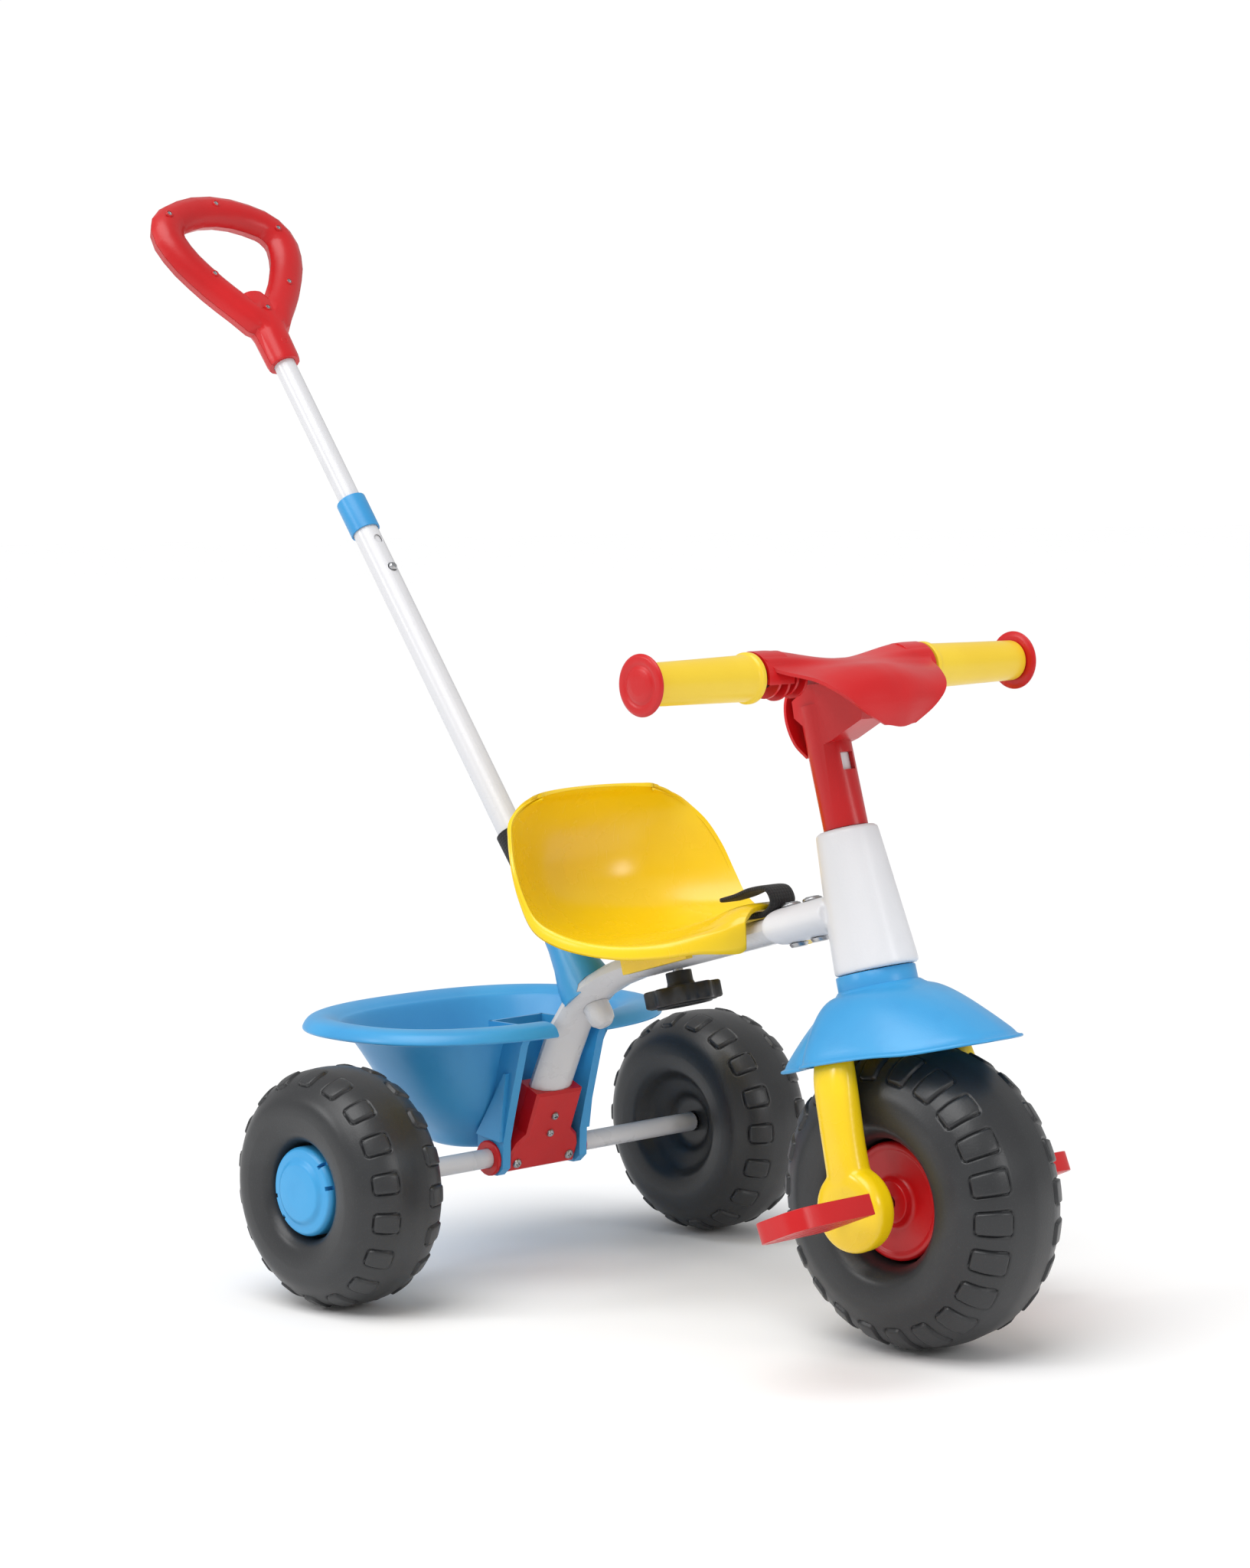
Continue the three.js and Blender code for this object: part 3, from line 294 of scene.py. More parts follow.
def lathe(name, profile, matrix, segments=96, sharp=32.0):
    """A turned piece about local Y."""
    angles = np.linspace(0, 2 * math.pi, segments, endpoint=False)
    points = [[r * math.cos(a), y, r * math.sin(a)] for r, y in profile for a in angles]
    return build(name, points, grid_faces(len(profile), segments, False, True), matrix, sharp)


def loft(name, rings, matrix, sharp=32.0, wrap=False):
    """A closed skin through rings of points, capped at its ends unless it wraps."""
    rings = np.asarray(rings, float)
    rows, columns = rings.shape[:2]
    faces = grid_faces(rows, columns, wrap, True)
    if not wrap:
        faces += [list(range(columns)), list(range((rows - 1) * columns, rows * columns))]
    return build(name, rings.reshape(-1, 3), faces, matrix, sharp)


def oval(x, z, half_x, half_y, power, sides=64):
    """A superellipse ring in a level plane."""
    angles = np.linspace(0, 2 * math.pi, sides, endpoint=False)
    c, s = np.cos(angles), np.sin(angles)
    px = x + half_x * np.sign(c) * np.abs(c) ** (2 / power)
    py = half_y * np.sign(s) * np.abs(s) ** (2 / power)
    return np.stack([px, py, np.full(sides, z)], axis=1)


def ovals(table, count, sides=64):
    """Rings through a table of [x, z, half x, half y, power]."""
    return [oval(*row, sides) for row in smooth_rows(table, count)]


def shell(name, upper, thickness, matrix, sharp=40.0):
    """A sheet whose upper face is a grid of points, thickened to the other side."""
    upper = np.asarray(upper, float)
    rows, columns = upper.shape[:2]
    normal = np.cross(np.gradient(upper, axis=1), np.gradient(upper, axis=0))
    normal /= np.maximum(np.linalg.norm(normal, axis=2, keepdims=True), 1e-9)
    lower = upper + normal * thickness
    count = rows * columns
    faces = grid_faces(rows, columns) + [f[::-1] for f in grid_faces(rows, columns, first=count)]
    rim = [j for j in range(columns)] + [i * columns + columns - 1 for i in range(1, rows)]
    rim += [(rows - 1) * columns + j for j in range(columns - 2, -1, -1)]
    rim += [i * columns for i in range(rows - 2, 0, -1)]
    faces += [[a, b, b + count, a + count] for a, b in zip(rim, rim[1:] + rim[:1])]
    points = np.concatenate([upper.reshape(-1, 3), lower.reshape(-1, 3)])
    return build(name, points, faces, matrix, sharp)


def prism(name, outline, low, high, matrix, axis="y"):
    """A plate: an outline of [x, z] pairs from y low to high, or of [x, y] pairs from z low to high."""
    ends = [[(a, h, b) if axis == "y" else (a, b, h) for a, b in outline] for h in (low, high)]
    return loft(name, ends, matrix)


def box(name, low, high, matrix):
    (x0, y0, z0), (x1, y1, z1) = low, high
    return prism(name, [(x0, z0), (x1, z0), (x1, z1), (x0, z1)], y0, y1, matrix)


def settle(piece):
    """The piece's modifiers, made part of its mesh."""
    bpy.context.view_layer.update()
    graph = bpy.context.evaluated_depsgraph_get()
    mesh = bpy.data.meshes.new_from_object(piece.evaluated_get(graph), depsgraph=graph)
    piece.modifiers.clear()
    piece.data = mesh
    return piece


def modify(piece, kind, **values):
    modifier = piece.modifiers.new(kind.lower(), kind)
    for key, value in values.items():
        setattr(modifier, key, value)
    return piece


def eased(piece, width=0.6, segments=2, angle=32.0):
    """Edges rounded over, as a mould leaves them."""
    limit = math.radians(angle)
    modify(piece, "BEVEL", width=width * MM, segments=segments, limit_method="ANGLE", angle_limit=limit)
    settle(piece)
    piece.data.shade_smooth()
    return modify(piece, "WEIGHTED_NORMAL", weight=60)


def cut(piece, *tools):
    """The piece less its tools, which go."""
    for tool in tools:
        modify(piece, "BOOLEAN", operation="DIFFERENCE", solver="EXACT", object=tool)
        settle(piece)
        bpy.data.objects.remove(tool)
    return piece


def join(*pieces):
    """One object of several."""
    whole = pieces[0]
    work = bmesh.new()
    for piece in pieces:
        work.from_mesh(piece.data)
    work.to_mesh(whole.data)
    work.free()
    for piece in pieces[1:]:
        bpy.data.objects.remove(piece)
    return whole


def melted(piece, voxel=1.3, rounds=6):
    """Overlapping solids run together, with soft fillets where they meet."""
    modify(piece, "REMESH", mode="VOXEL", voxel_size=voxel * MM)
    modify(piece, "SMOOTH", factor=0.5, iterations=rounds)
    settle(piece)
    piece.data.shade_smooth()
    return piece


def attach(piece, body, material, slot, *nodes):
    """Finish and body of a new piece, and the CAD nodes that it stands for."""
    piece.data.materials.clear()
    piece.data.materials.append(material)
    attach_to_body(piece, body)
    if nodes:
        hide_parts(*nodes)
    return piece


def rod(name, radius, low, high, matrix, segments=48):
    return lathe(name, [(0, low), (radius, low), (radius, high), (0, high)], matrix, segments)


def upright(matrix):
    """A frame whose local Y is the given one's Z."""
    return matrix @ Matrix.Rotation(math.pi / 2, 4, "X")


# ---- wheels ----
def step(value, low, high):
    t = np.clip((value - low) / (high - low), 0, 1)
    return t * t * (3 - 2 * t)


def tyre(name, body, matrix, radius, half, inner, outer, blocks, size, middle):
    """A balloon tyre: two staggered rows of low blocks, each in a narrow moat."""
    core = 0.62 * radius
    theta = np.linspace(-math.pi / 2, math.pi / 2, 121)
    c, s = np.abs(np.cos(theta)), np.sin(theta)
    balloon = np.stack([core + (radius - core) * c**0.83, half * np.sign(s) * np.abs(s) ** 0.83], axis=1)
    run = np.concatenate([[0], np.cumsum(np.linalg.norm(np.diff(balloon, axis=0), axis=1))])
    run -= run[-1] / 2
    (length, width), bend = size, 2.6
    near = (-3.4, -2.4, -1.7, -1.0, -0.4, 0.2, 0.8, 2.2)
    edges = [0, 3] + [middle - width / 2 + d for d in near] + [middle - 4, middle, middle + 4]
    edges += [middle + width / 2 - d for d in near[::-1]]
    far = np.linspace(middle + width / 2 + 5, run[-1], 12)
    half_run = np.array(edges + far.tolist())
    steps = np.concatenate([-half_run[:0:-1], half_run])
    section = np.stack([np.interp(steps, run, balloon[:, 0]), np.interp(steps, run, balloon[:, 1])], axis=1)
    tangent = np.gradient(section, axis=0)
    normal = np.stack([tangent[:, 1], -tangent[:, 0]], axis=1)
    normal /= np.linalg.norm(normal, axis=1, keepdims=True)
    pitch = 2 * math.pi * radius / blocks
    near = [-length / 2 + d for d in near]
    local = np.array([-pitch / 2, *near, -length / 5, 0, length / 5, *[-d for d in near[::-1]]])
    local = np.unique(np.round(local, 4))
    around = np.concatenate([local + k * pitch for k in range(blocks)])
    rows = []
    for at, (r, y), (nr, ny) in zip(steps, section, normal):
        shift = pitch / 2 * step(at, -3, 3)
        a = np.abs((around + pitch / 2) % pitch - pitch / 2) - (length / 2 - bend)
        b = abs(abs(at) - middle) - (width / 2 - bend)
        outside = np.hypot(np.maximum(a, 0), max(b, 0)) + np.minimum(np.maximum(a, b), 0) - bend
        tread = 1 - step(abs(at), middle + width / 2 + 2, middle + width / 2 + 16)
        moat = np.exp(-(((outside - 0.9) / 0.7) ** 2))
        depth = (1.4 * step(outside, -0.6, 0.5) + 1.2 * moat) * tread
        angle = (around + shift) / radius
        rr, yy = r - nr * depth, y - ny * depth
        rows.append(np.stack([rr * np.cos(angle), yy, rr * np.sin(angle)], axis=1))

    def sides(profile, shift):
        angle = (around + shift) / radius
        ahead, up = np.cos(angle), np.sin(angle)
        return [np.stack([r * ahead, np.full_like(angle, y), r * up], axis=1) for r, y in profile]

    rings = sides(rounded([*inner, tuple(section[0])], 4)[:-1], 0) + rows
    rings += sides(rounded([tuple(section[-1]), *outer], 4)[1:], pitch / 2)
    piece = loft(name, rings, matrix, 45, True)
    return attach(piece, body, TYRE, "tyre_plastic", name.replace("_tyre", ""))


def rear_wheel(side):
    name = "left" if side > 0 else "right"
    body = f"rear_wheel_{name}"
    matrix = place(0, side * TRACK, REAR_RADIUS, 0, 0 if side > 0 else 180)
    inner = [(5.15, 19.5), (5.15, -17), (19, -17), (24, -23), (36, -28), (44, -39)]
    outer = [(41, 38), (36, 30), (35, 19.5), (5.15, 19.5)]
    tyre(f"{body}_tyre", body, matrix, REAR_RADIUS, REAR_HALF, inner, outer, 18, (14.4, 19.6), 25)
    profile = [(0, 24), (10, 24), (10, 19.8), (33.1, 19.8), (33.1, 33), (31, 36.2), (24.8, 36.8),
               (21.2, 39.6), (12, 40.2), (0, 40.2)]
    points = rounded(profile, 1.4, 5)
    cap = lathe(f"hub_cap_{name}_part", points, matrix, 180)
    tabs = []
    for angle in (12, 45, 192, 225):
        spin = matrix @ Matrix.Rotation(math.radians(angle), 4, "Y")
        tabs.append(box("notch", (28.6, 30, -1.5), (36, 40, 1.5), spin))
    cut(cap, *tabs)
    eased(cap, 0.35, 2, 40)
    attach(cap, body, BLUE, "blue_plastic", f"hub_cap_{name}")


def front_wheel():
    bore = CRANK_BORE
    inner = [(bore, 0), (bore, -13), (43, -13), (43.5, -26), (46, -38), (54, -47)]
    outer = [(r, -y) for r, y in inner[::-1]]
    size = (17, 27)
    tyre("front_wheel_tyre", "front_wheel", STEER, FRONT_RADIUS, FRONT_HALF, inner, outer, 22, size, 37)
    profile = [(bore, 13.4), (41.7, 13.4), (41.7, 27), (40.2, 28.6), (37.5, 28.8), (35.5, 27.4), (19, 26.4),
               (16.6, 28), (15, 33), (bore, 33), (bore, 13.4)]
    for name, turn in (("left", 0), ("right", 180)):
        matrix = STEER @ Matrix.Rotation(math.radians(turn), 4, "Z")
        disc = lathe(f"hub_disc_{name}_part", rounded(profile, 1.2, 4), matrix, 128)
        attach(disc, "front_wheel", RED, "red_plastic", f"hub_disc_{name}")


# ---- bucket ----
def bucket():
    z = REAR_RADIUS
    table = [[-50, z + 4, 26, 33, 2.4], [-50, z + 5, 36, 47, 2.4], [-49, z + 16, 43, 57, 2.4],
             [-50, z + 43, 59, 82, 2.4], [-56, z + 95, 80, 115, 2.4], [-54, z + 101, 108, 138, 2.4],
             [-54, z + 97, 113, 143, 2.4], [-54, z + 99, 116, 146, 2.4], [-54, z + 106, 111, 141, 2.4],
             [-55, z + 108, 100, 130, 2.4], [-56, z + 104, 86, 121, 2.4], [-56, z + 95, 77, 112, 2.4],
             [-50, z + 44, 56.5, 79.5, 2.4], [-49, z + 18, 41, 55, 2.4], [-50, z + 8.6, 35, 46, 2.4],
             [-50, z + 6.8, 26, 33, 2.4]]
    skin = loft("bucket_part", ovals(table, 91, 112), LEVEL, 50)
    axle = rod("bore", AXLE_BORE, -60, 60, place(0, 0, z))
    cut(skin, box("room", (-14, -25.2, 90), (90, 25.2, 260), LEVEL),
        box("room", (-17, -35.8, 60), (60, 35.8, 121), LEVEL), axle)
    outline = [(-14, 84), (-8, 77), (8, 77), (15, 83), (16, 104), (21, 122), (38, 180), (44, 190), (-8, 176),
               (-14, 110)]
    pieces = [skin]
    for low, high in ((-43.6, -36), (36, 43.6)):
        bore = rod("bore", AXLE_BORE, -60, 60, place(0, 0, z), 64)
        pieces.append(cut(prism("ear", outline, low, high, LEVEL), bore))
    pieces.append(box("wall", (-17.2, -27.5, 118), (-14.2, 27.5, 193), LEVEL))
    pieces.append(box("wall", (-17.2, -37, 98.5), (-14.2, 37, 123), LEVEL))
    cheek = [(-17, 121), (-17, 193), (34, 193), (22, 175), (6, 138), (-4, 121)]
    pieces += [prism("cheek", cheek, low, high, LEVEL) for low, high in ((-27.7, -25.2), (25.2, 27.7))]
    for low, high in ((-37.5, -25.2), (25.2, 37.5)):
        pieces.append(box("shelf", (-17, low, 121), (-4, high, 123.5), LEVEL))
    for side in (-1, 1):
        wedge = [(-12, 108), (15, 104), (19, 128), (24, 158), (22, 158), (2, 128)]
        pieces.append(prism("rib", wedge, side * 45.2 - 2, side * 45.2 + 2, LEVEL))
    whole = join(*pieces)
    attach(eased(whole, 0.7, 2, 40), "bucket", BLUE, "blue_plastic", "bucket")


# ---- head, fork and mudguard ----
def head():
    table = [[2, 160.5, 28.6, 27.1, 2.2], [2, 162, 29.8, 27.9, 2.2], [2, 166, 29.9, 28, 2.2],
             [1, 200, 27.5, 25.5, 2.2], [0, 255, 22.9, 22.3, 2.05], [0, 259.6, 22, 21.4, 2],
             [0, 262, 20, 19.4, 2]]
    shell_piece = loft("head_housing_part", ovals(table, 40, 72), STEER, 60)
    rings = []
    for x, scale in ((106, 0.93), (108, 0.99), (112, 1), (167, 1)):
        angles = np.linspace(0, 2 * math.pi, 56, endpoint=False)
        ring = [(x, 24.6 * scale * math.cos(a), 13.4 * scale * math.sin(a)) for a in angles]
        rings.append(ring)
    spigot = loft("spigot", rings, HEAD_TUBE, 60)
    whole = melted(join(shell_piece, spigot), 1.3, 5)
    cut(whole, rod("bore", COLUMN_BORE, 150, 275, upright(STEER)))
    attach(whole, "frame", WHITE, "white_plastic", "head_housing")
    for name, x in (("rear", 287), ("front", 308)):
        along = (x - 173) / math.cos(math.radians(15))
        spot = HEAD_TUBE @ Matrix.Translation((along, 0, 0)) @ Matrix.Rotation(math.pi / 2, 4, "X")
        spot = spot @ Matrix.Rotation(math.pi, 4, "X")
        profile = [(0, -16.2), (3.2, -16.2), (6.6, -15.2), (7.4, -14.2), (7.4, -13.2), (0, -13.2)]
        dome = lathe(f"head_bolt_{name}_part", rounded(profile, 1.2, 4), spot, 48)
        attach(dome, "frame", ZINC, "steel")


def fork():
    parts = []
    for side in (-1, 1):
        leg = [[6, 17.5, 12.4, 67], [26, 16, 12.2, 66.7], [44, 15.6, 12, 65.8], [64, 16, 11.8, 64.2],
               [92, 16.8, 10.4, 61.4], [112, 15.4, 6, 57.4]]
        rings = []
        for z, long, thick, out in smooth_rows(leg, 40):
            rings.append(oval(0, z, long, thick, 2.5, 40) + (0, side * out, 0))
        parts.append(loft("leg", rings, STEER))
        pod = rounded([(0, -13), (26, -13), (29, -10), (29.8, 2), (27.6, 7.6), (19, 9.8), (0, 9.8)], 3, 5)
        matrix = STEER @ Matrix.Translation((0, side * 69.6, 0))
        matrix = matrix @ Matrix.Rotation(0 if side > 0 else math.pi, 4, "X")
        parts.append(lathe("pod", pod, matrix, 72))
    crown = [[0, 110, 14, 62.5, 3.4], [0, 116, 16, 58, 3], [0, 127, 19, 40, 2.6], [0, 134, 20, 23.4, 2.2]]
    parts.append(loft("crown", ovals(crown, 20, 64), STEER))
    parts.append(rod("boss", 23, 124, 159.4, upright(STEER)))
    whole = melted(join(*parts), 1.3, 5)
    cut(whole, rod("bore", COLUMN_BORE, 100, 170, upright(STEER)), rod("bore", 4.8, -96, 96, STEER))
    attach(whole, "steering", YELLOW, "yellow_plastic", "fork")


def mudguard():
    half = [(103, 0, 96), (102, 13, 96), (94, 29, 96.5), (80, 43, 97), (62, 55, 98), (40, 64, 101),
            (13, 71, 103), (-12, 73, 104), (-26, 65, 104), (-35, 52, 104), (-46, 42, 104), (-64, 36, 104),
            (-84, 25, 105), (-95, 10, 106), (-96, 0, 106)]
    loop = half + [(x, -y, z) for x, y, z in half[1:-1][::-1]]
    fine = smooth_rows([loop[-1], *loop, loop[0], loop[1]], 1 + 31 * 8)
    fine = fine[8 : 8 + 28 * 8]

    def level(f, inset, drop):
        reach = np.hypot(fine[:, 0], fine[:, 1])
        power = 1.2 + 0.85 * (fine[:, 1] / reach) ** 2
        radius = 28.5 + (reach - 28.5) * f - inset
        height = 146 - (146 - fine[:, 2]) * f**power - drop
        height = height + (3.4 * math.exp(-((f / 0.07) ** 2)) + 2.6 * math.sin(math.pi * f)) * (inset < 1)
        return np.stack([fine[:, 0] / reach * radius, fine[:, 1] / reach * radius, height], axis=1)

    def flat(radius, height):
        reach = np.hypot(fine[:, 0], fine[:, 1])
        x, y = fine[:, 0] / reach * radius, fine[:, 1] / reach * radius
        return np.stack([x, y, np.full_like(reach, height)], axis=1)

    steps = np.linspace(0, 1, 40)
    rings = [level(f, 0, 1.4 * step(f, 0.93, 1) * (f < 0.985)) for f in steps]
    hem = ((-1.6, 0.3), (-2.4, 1.1), (-2.4, 2.0), (-1.4, 2.6), (2.4, 2.6))
    rings += [level(1, inset, drop) for inset, drop in hem]
    rings += [level(f, 2.4, 1.6 * (1 - f)) for f in steps[::-1]]
    rings += [flat(23.8, 143), flat(23.8, 159.2), flat(24.2, 159.9), flat(27.9, 159.9), flat(28.5, 159.2),
              flat(28.6, 151), flat(28.7, 147.6)]
    attach(loft("mudguard_part", rings, STEER, 55, True), "steering", BLUE, "blue_plastic", "mudguard")


# ---- handlebar ----
def grips():
    bar = STEER @ Matrix.Translation((BAR_X, 0, BAR_Z))
    for name, turn in (("right", 180), ("left", 0)):
        matrix = bar @ Matrix.Rotation(math.radians(turn), 4, "Z")
        profile = [(7.9, 88), (18, 88), (18, 92), (16.5, 93.2), (16.2, 96), (15.4, 140), (14.7, 186),
                   (14.3, 187.6), (7.9, 187.6), (7.9, 88)]
        grip = lathe(f"grip_{name}_part", rounded(profile, 0.9, 4), matrix, 96)
        attach(grip, "steering", GRIP, "grip_plastic", f"grip_{name}")
        face = 188.2
        profile = [(0, face - 14), (5.6, face - 14), (5.8, face), (15.4, face), (18, face + 0.2),
                   (21.3, face + 1.4), (21.4, face + 2.6), (19.4, face + 4), (15.8, face + 4.0),
                   (13.4, face + 3.2), (11, face + 4.4), (7, face + 5.1), (0, face + 5.2)]
        end = lathe(f"grip_end_{name}_part", rounded(profile, 0.8, 4), matrix, 96)
        attach(end, "steering", RED, "red_plastic", f"grip_end_{name}")


def cover():
    table = [[-3, 370, 3.6, 85, 373], [1, 377, 6, 85, 381], [10, 380.2, 13, 85, 386.6],
             [24, 380, 24, 85, 388.6], [38, 376.6, 36.4, 85, 380.6], [50, 371.6, 41, 79, 371.5],
             [63, 366, 60, 65, 360], [74, 356, 70, 57, 350], [78, 343, 74, 48, 341],
             [76.4, 331, 73.4, 34, 331], [72, 319.5, 71.5, 15, 321.5]]
    t = np.linspace(-1, 1, 97)
    upper = []
    for x, z, edge_x, half, edge_z in smooth_rows(table, 91):
        lift = step(np.abs(t * half) / min(half, 74), 0.06, 1.0)
        upper.append(np.stack([x + (edge_x - x) * lift, t * half, z + (edge_z - z) * lift], axis=1))
    pieces = [shell("handlebar_cover_part", upper, 2.4, STEER)]
    bib = smooth_rows([[-19, 317, 6], [-21, 328, 13.5], [-22, 343, 16.5], [-21, 357, 15.5], [-15, 366, 15],
                       [-2, 371.5, 15]], 31)
    lines = np.linspace(-1, 1, 15)
    grid = np.stack([np.repeat(bib[:, :1], 15, 1), bib[:, 2:] * lines, np.repeat(bib[:, 1:2], 15, 1)], axis=2)
    pieces.append(shell("bib", grid, 2.4, STEER))
    bar = STEER @ Matrix.Translation((BAR_X, 0, BAR_Z))
    low, high = math.radians(-30), math.radians(210)
    for side in (-1, 1):
        arc = [(math.cos(a), math.sin(a)) for a in np.linspace(low, high, 49)]
        section = [(17.9 * c, 17.9 * s) for c, s in arc] + [(15.4 * c, 15.4 * s) for c, s in arc[::-1]]
        rings = [[(x, side * y, z) for x, z in section] for y in np.linspace(61, 85.4, 9)]
        pieces.append(loft("sleeve", rings, bar))
        for y, reach in ((47, 15), (55.5, 13.5), (64, 16), (72.5, 14)):
            under = np.linspace(-math.pi, 0, 31)
            fine = [(1.02 * 15.6 * math.cos(a), reach * math.sin(a) - 1) for a in under]
            fine += [(10, 6), (-10, 6)]
            web = prism("web", fine, side * y - 1.1, side * y + 1.1, bar)
            pieces.append(cut(web, rod("hole", 7.9, -90, 90, bar, 40)))
    whole = eased(join(*pieces), 0.5, 2, 45)
    attach(whole, "steering", RED, "red_plastic", "handlebar_cover")


# ---- pedals ----
def pedals():
    for name, side in (("right", -1), ("left", 1)):
        outline = [(-23.5, 0), (23.5, 0), (24.4, 20), (25, 40), (24.4, 54), (21.5, 65), (14, 71), (5, 72),
                   (-5, 72), (-14, 71), (-21.5, 65), (-24.4, 54), (-25, 40), (-24.4, 20)]
        fine = smooth_rows(outline[1:] + outline[:1], 76).tolist()
        matrix = STEER @ Matrix.Translation((-side * 36, 0, 0)) @ Matrix.Rotation(math.radians(-7), 4, "Y")
        matrix = matrix @ Matrix.Rotation(0 if side > 0 else math.pi, 4, "Z")
        matrix = matrix @ Matrix.Translation((0, 111, 0))
        body = prism("body", fine, -7.2, 7.2, matrix, "z")
        grooves = [box("groove", (-17.5 + 9 * k, 8, face), (-14.5 + 9 * k, 62, face + 2.4), matrix)
                   for k in range(5) for face in (-8.6, 6.2)]
        cut(body, rod("bore", 4.75, -5, 68, matrix), *grooves)
        eased(body, 1.0, 3, 40)
        body.name = f"pedal_{name}_part"
        attach(body, f"pedal_{name}", RED, "red_plastic", f"pedal_{name}")


# ---- seat ----
def seat():
    table = [
        [74.5, SEAT_TOP, 81.6, 57, 373.3, -0.6, 0.4, -0.5], [73.6, 374.7, 82.2, 63, 372.2, -2.2, 1.1, -1.5],
        [72, 372.4, 82.6, 69, 370.4, -3.4, 1.8, -2.4], [66, 366, 84.4, 80, 365.4, -4, 2, -2.4],
        [60, 353, 88, 92, 356, -3.6, 1.6, -2], [56, 336, 97, 101, 343, -3, 1, -2],
        [56, 316, 107, 107, 325, -3, 1.5, -3], [62, 297, 118, 109, 305, -3, 2, -5],
        [77, 281, 131, 108, 288, -2, 3, -8], [98, 273, 151, 104, 279, -1, 4, -9],
        [125, 270, 177, 98, 274, 0, 4, -9], [155, 273, 203, 88, 273, 1, 4, -10],
        [185, 280, 229, 75, 276, 2, 4, -11], [212, 288, 246, 60, 281, 3, 3, -13],
        [236, 297, 257, 46, 285, 3, 2, -17], [255, 302, 263, 35, 289, 3, 1, -21],
        [265, 301.3, 267, 30, 291, 1, 0.5, -20],
    ]
    rows = smooth_rows(table, 106)
    powers = np.interp(np.linspace(0, 16, 106), [0, 13.5, 15, 16], [2.3, 2.3, 5, 5])
    t = np.linspace(-1, 1, 65)
    grid = []
    for row, power in zip(rows, powers):
        mid_x, mid_z, edge_x, half, edge_z, dx, dy, dz = row
        blend = np.abs(t) ** power
        x, z = mid_x + (edge_x - mid_x) * blend, mid_z + (edge_z - mid_z) * blend
        fade = min(half / 60, 1) * min(max((SEAT_TOP - mid_z) / 14, 0), 1)
        bead = 1.5 * step(np.abs(t), 0.87, 0.95) * fade
        line = np.stack([x, t * half, z + bead], axis=1)
        turn = np.linspace(0, 1, 8)[1:] * math.pi / 2
        hems = []
        for sign, edge in ((-1, line[0]), (1, line[-1])):
            hem = [edge + (dx * math.sin(a), sign * dy * math.sin(a), dz * (1 - math.cos(a))) for a in turn]
            hems.append(hem)
        grid.append(np.vstack([hems[0][::-1], line, hems[1]]))
    piece = shell("seat_shell_part", grid, 3.2, LEVEL, 50)
    attach(modify(piece, "WEIGHTED_NORMAL", weight=60), "seat", YELLOW, "yellow_plastic", "seat_shell")


def strap():
    path = smooth_rows([[244, 290.5], [255, 293.5], [265, 295.4], [271.8, 299.5], [274.5, 306], [268, 313.5],
                        [252, 311.5], [237, 306], [223, 302]], 81)
    tangent = np.gradient(path, axis=0)
    normal = np.stack([-tangent[:, 1], tangent[:, 0]], axis=1)
    normal /= np.linalg.norm(normal, axis=1, keepdims=True)
    run = np.concatenate([[0], np.cumsum(np.linalg.norm(np.diff(path, axis=0), axis=1))])
    angles = np.linspace(0, 2 * math.pi, 36, endpoint=False)
    wide = 12.3 * np.sign(np.cos(angles)) * np.abs(np.cos(angles)) ** 0.35
    deep = 1.9 * np.sign(np.sin(angles)) * np.abs(np.sin(angles)) ** 0.5
    rings = []
    for (x, z), (nx, nz) in zip(path, normal):
        rings.append([(x + nx * d, w, z + nz * d) for w, d in zip(wide, deep)])
    piece = loft("crotch_strap_part", rings, LEVEL, 60)
    weave_run(piece, path, run)
    attach(piece, "seat", WEBBING, "webbing", "crotch_strap")


def weave_run(piece, path, run):
    """Each point's distance along the strap and across it, for the weave."""
    at = np.array([v.co for v in piece.data.vertices])
    line = np.stack([(path[:, 0] - MIDDLE_X) * MM, path[:, 1] * MM], axis=1)
    nearest = np.argmin(((at[:, None, [0, 2]] - line[None]) ** 2).sum(2), axis=1)
    values = np.stack([run[nearest] * MM, at[:, 1], np.zeros(len(at))], axis=1)
    layer = piece.data.attributes.new("run", "FLOAT_VECTOR", "POINT")
    layer.data.foreach_set("vector", values.astype(np.float32).ravel())


def knob():
    angles = np.linspace(0, 2 * math.pi, 180, endpoint=False)
    rings = []
    for z, grow in ((-36, -1.6), (-35.6, -0.6), (-34.6, 0), (-24.4, 0), (-23.4, -0.6), (-23, -1.6)):
        radius = 27.5 + grow + 1.8 * np.cos(9 * angles)
        rings.append(np.stack([radius * np.cos(angles), radius * np.sin(angles), np.full(180, z)], axis=1))
    star = loft("seat_knob_part", rings, SEAT_CLAMP, 40)
    hanging = upright(SEAT_CLAMP) @ Matrix.Rotation(math.pi, 4, "X")
    profile = rounded([(4.4, 11.5), (9.8, 11.5), (9.8, 20), (11.5, 23.5), (4.4, 23.5), (4.4, 11.5)], 1)
    neck = lathe("neck", profile, hanging, 64)
    profile = rounded([(17, 35.8), (17, 37.4), (21, 37.4), (21, 35.8), (17, 35.8)], 0.6)
    ring = lathe("ring", profile, hanging, 96)
    attach(join(star, neck, ring), "seat_knob", BLACK, "black_plastic", "seat_knob")


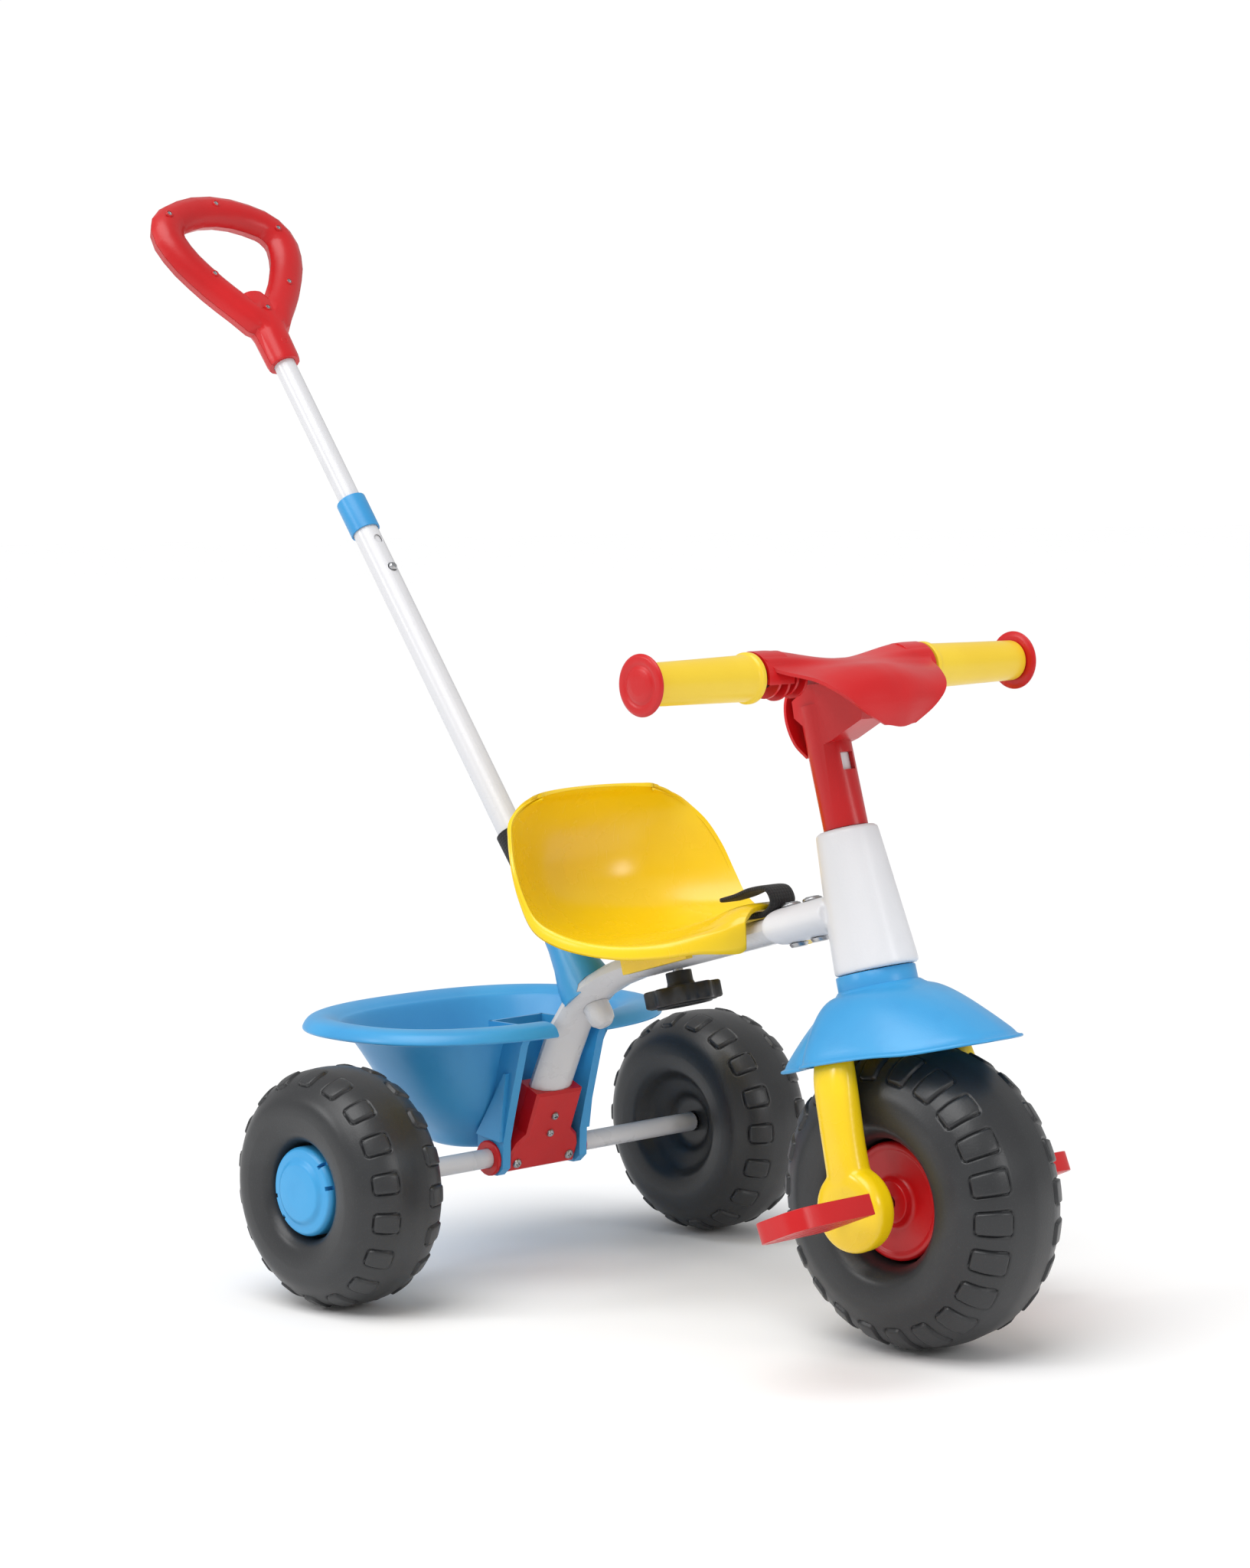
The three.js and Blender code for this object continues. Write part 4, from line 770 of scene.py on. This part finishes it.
# ---- push pole ----
def pole_band():
    angles = np.linspace(0, 2 * math.pi, 72, endpoint=False)
    profile = [(10.9, 100), (12.2, 100), (12.6, 101), (12.5, 104), (12.3, 124), (12.5, 144), (12.6, 147),
               (12.2, 148), (10.9, 148)]
    heights = smooth_rows(profile, 49)
    rings = [[(r * math.cos(a), r * math.sin(a), h) for a in angles] for r, h in heights]
    piece = loft("pole_band_part", rings, POLE, 60, True)
    back = np.array(POLE.inverted())
    at = np.array([v.co for v in piece.data.vertices])
    local = at @ back[:3, :3].T + back[:3, 3]
    around = np.arctan2(local[:, 1], local[:, 0]) * 12.5 * MM
    values = np.stack([local[:, 2] * MM, around, np.zeros(len(at))], axis=1)
    layer = piece.data.attributes.new("run", "FLOAT_VECTOR", "POINT")
    layer.data.foreach_set("vector", values.astype(np.float32).ravel())
    attach(piece, "pole_lower", WEBBING, "webbing", "pole_band")


# ---- screws ----
def phillips(name, body, radius, height, matrix, *nodes):
    """A domed cross-head screw, its head along local Y."""
    profile = [(0, -1.5), (radius, -1.5), (radius, 0.2 * height), (0.82 * radius, 0.72 * height),
               (0.45 * radius, 0.96 * height), (0, height)]
    piece = lathe(name, rounded(profile, 0.4, 3), matrix, 40)
    arm, slot = 0.62 * radius, 0.17 * radius
    for a, b in ((arm, slot), (slot, arm)):
        cut(piece, box("slot", (-a, 0.3 * height, -b), (a, height + 1, b), matrix))
    attach(piece, body, ZINC, "steel", *nodes)


def bracket_screws():
    spots = {"upper": (0, 38), "middle": (0, 23), "right": (-27, 0), "left": (27, 0)}
    for name, (y, z) in spots.items():
        matrix = BRACKET @ Matrix.Translation((13.2, y, z)) @ Matrix.Rotation(-math.pi / 2, 4, "Z")
        radius = 3.9 if z == 0 else 3.2
        phillips(f"bracket_screw_{name}_part", "frame", radius, 2.6, matrix, f"bracket_screw_{name}")


def handle_screws():
    spots = [(-55.5, 147), (-1.6, 160.5), (52.8, 137), (36, 79), (-38, 85), (0, 51), (0, 16)]
    for index, (y, height) in enumerate(spots, 1):
        well = POLE @ Matrix.Translation((12.3, y, HANDLE_FOOT + height))
        well = well @ Matrix.Rotation(-math.pi / 2, 4, "Z")
        profile = rounded([(2.1, -1), (2.1, 0.5), (3.0, 0.5), (3.5, -1), (2.1, -1)], 0.3)
        rim = lathe(f"handle_screw_well_{index}", profile, well, 36)
        attach(rim, "pole_upper", RED, "red_plastic")
        phillips(f"handle_screw_{index}", "pole_upper", 2.05, 0.35, well)


# ---- CAD nodes that keep their shape ----
def dress_cad():
    finishes = {
        "white_steel": ENAMEL, "steel": ZINC, "white_plastic": WHITE, "red_plastic": RED,
        "blue_plastic": BLUE, "yellow_plastic": YELLOW, "grip_plastic": GRIP, "tyre_plastic": TYRE,
        "black_plastic": BLACK, "webbing": WEBBING,
    }
    for part in frame["record"]["subparts"]:
        node = frame["nodes"][part["node"]]
        node.data.materials.clear()
        node.data.materials.append(finishes[part["material_slot"]])
        node.data.shade_smooth()
        modify(node, "WELD", merge_threshold=1e-6)
        width = 1.4 if part["node"].startswith(("bracket", "handlebar_stem")) else 0.35
        corner = math.radians(38)
        modify(node, "BEVEL", width=width * MM, segments=2, limit_method="ANGLE", angle_limit=corner)
        modify(node, "WEIGHTED_NORMAL", weight=60)


# ---- studio ----
def camera():
    data = bpy.data.cameras.new("camera")
    data.lens = 85.0
    data.sensor_width = 36.0
    data.clip_end = 100
    eye = bpy.data.objects.new("camera", data)
    azimuth, roll = math.radians(46.642), math.radians(-0.937)
    forward = Vector((-0.72466, 0.68427, -0.08143)).normalized()
    right = Vector((math.cos(azimuth), math.sin(azimuth), 0))
    up = right.cross(forward)
    right, up = right * math.cos(roll) + up * math.sin(roll), up * math.cos(roll) - right * math.sin(roll)
    turn = Matrix((right, up, -forward)).transposed().to_4x4()
    eye.matrix_world = Matrix.Translation(((2120.154 - MIDDLE_X) * MM, -1.896379, 0.606472)) @ turn
    bpy.context.scene.collection.objects.link(eye)
    bpy.context.scene.camera = eye


def lamp(name, place_at, target, size, power):
    data = bpy.data.lights.new(name, "AREA")
    data.shape = "DISK"
    data.size = size
    data.energy = power
    light = bpy.data.objects.new(name, data)
    light.location = place_at
    light.rotation_euler = (Vector(target) - Vector(place_at)).to_track_quat("-Z", "Y").to_euler()
    bpy.context.scene.collection.objects.link(light)


def studio():
    n = Nodes("pale_floor")
    tone = n.mix(n.noise(1.4, 3), (0.93, 0.93, 0.93), (0.95, 0.95, 0.95))
    n.finish(tone, n.ranged(n.noise(60, 3), 0.7, 0.8), n.bump(n.noise(300, 2), 0.03, 0.0005))
    ring = [(40 * math.cos(a), 40 * math.sin(a), 0) for a in np.linspace(0, 2 * math.pi, 97)[:-1]]
    floor = build("floor", ring, [list(range(96))], Matrix.Identity(4), closed=False)
    floor.location.z = -0.0004
    floor.data.materials.append(n.material)
    world = bpy.data.worlds.new("studio")
    world.use_nodes = True
    tree = world.node_tree
    sky = tree.nodes["Background"]
    sky.inputs["Color"].default_value = (1, 1, 1, 1)
    sky.inputs["Strength"].default_value = 0.55
    backdrop = tree.nodes.new("ShaderNodeBackground")
    backdrop.inputs["Color"].default_value = (1, 1, 1, 1)
    backdrop.inputs["Strength"].default_value = 1.02
    path, mix = tree.nodes.new("ShaderNodeLightPath"), tree.nodes.new("ShaderNodeMixShader")
    tree.links.new(path.outputs["Is Camera Ray"], mix.inputs[0])
    tree.links.new(sky.outputs[0], mix.inputs[1])
    tree.links.new(backdrop.outputs[0], mix.inputs[2])
    tree.links.new(mix.outputs[0], tree.nodes["World Output"].inputs["Surface"])
    bpy.context.scene.world = world
    sun = bpy.data.lights.new("overhead", "SUN")
    sun.energy = 2.0
    sun.angle = math.radians(50)
    high = bpy.data.objects.new("overhead", sun)
    high.rotation_euler = Vector((-0.1, 0.5, -1)).to_track_quat("-Z", "Y").to_euler()
    bpy.context.scene.collection.objects.link(high)
    lamp("key", (-1.3, -2.6, 1.7), (0, 0, 0.35), 0.8, 16)
    lamp("side", (2.8, 0.4, 1.3), (0.2, 0, 0.3), 0.7, 10)
    bpy.context.scene.view_settings.view_transform = "Standard"


camera()
dress_cad()
rear_wheel(-1)
rear_wheel(1)
front_wheel()
bucket()
head()
fork()
mudguard()
grips()
cover()
pedals()
seat()
strap()
knob()
pole_band()
bracket_screws()
handle_screws()
studio()
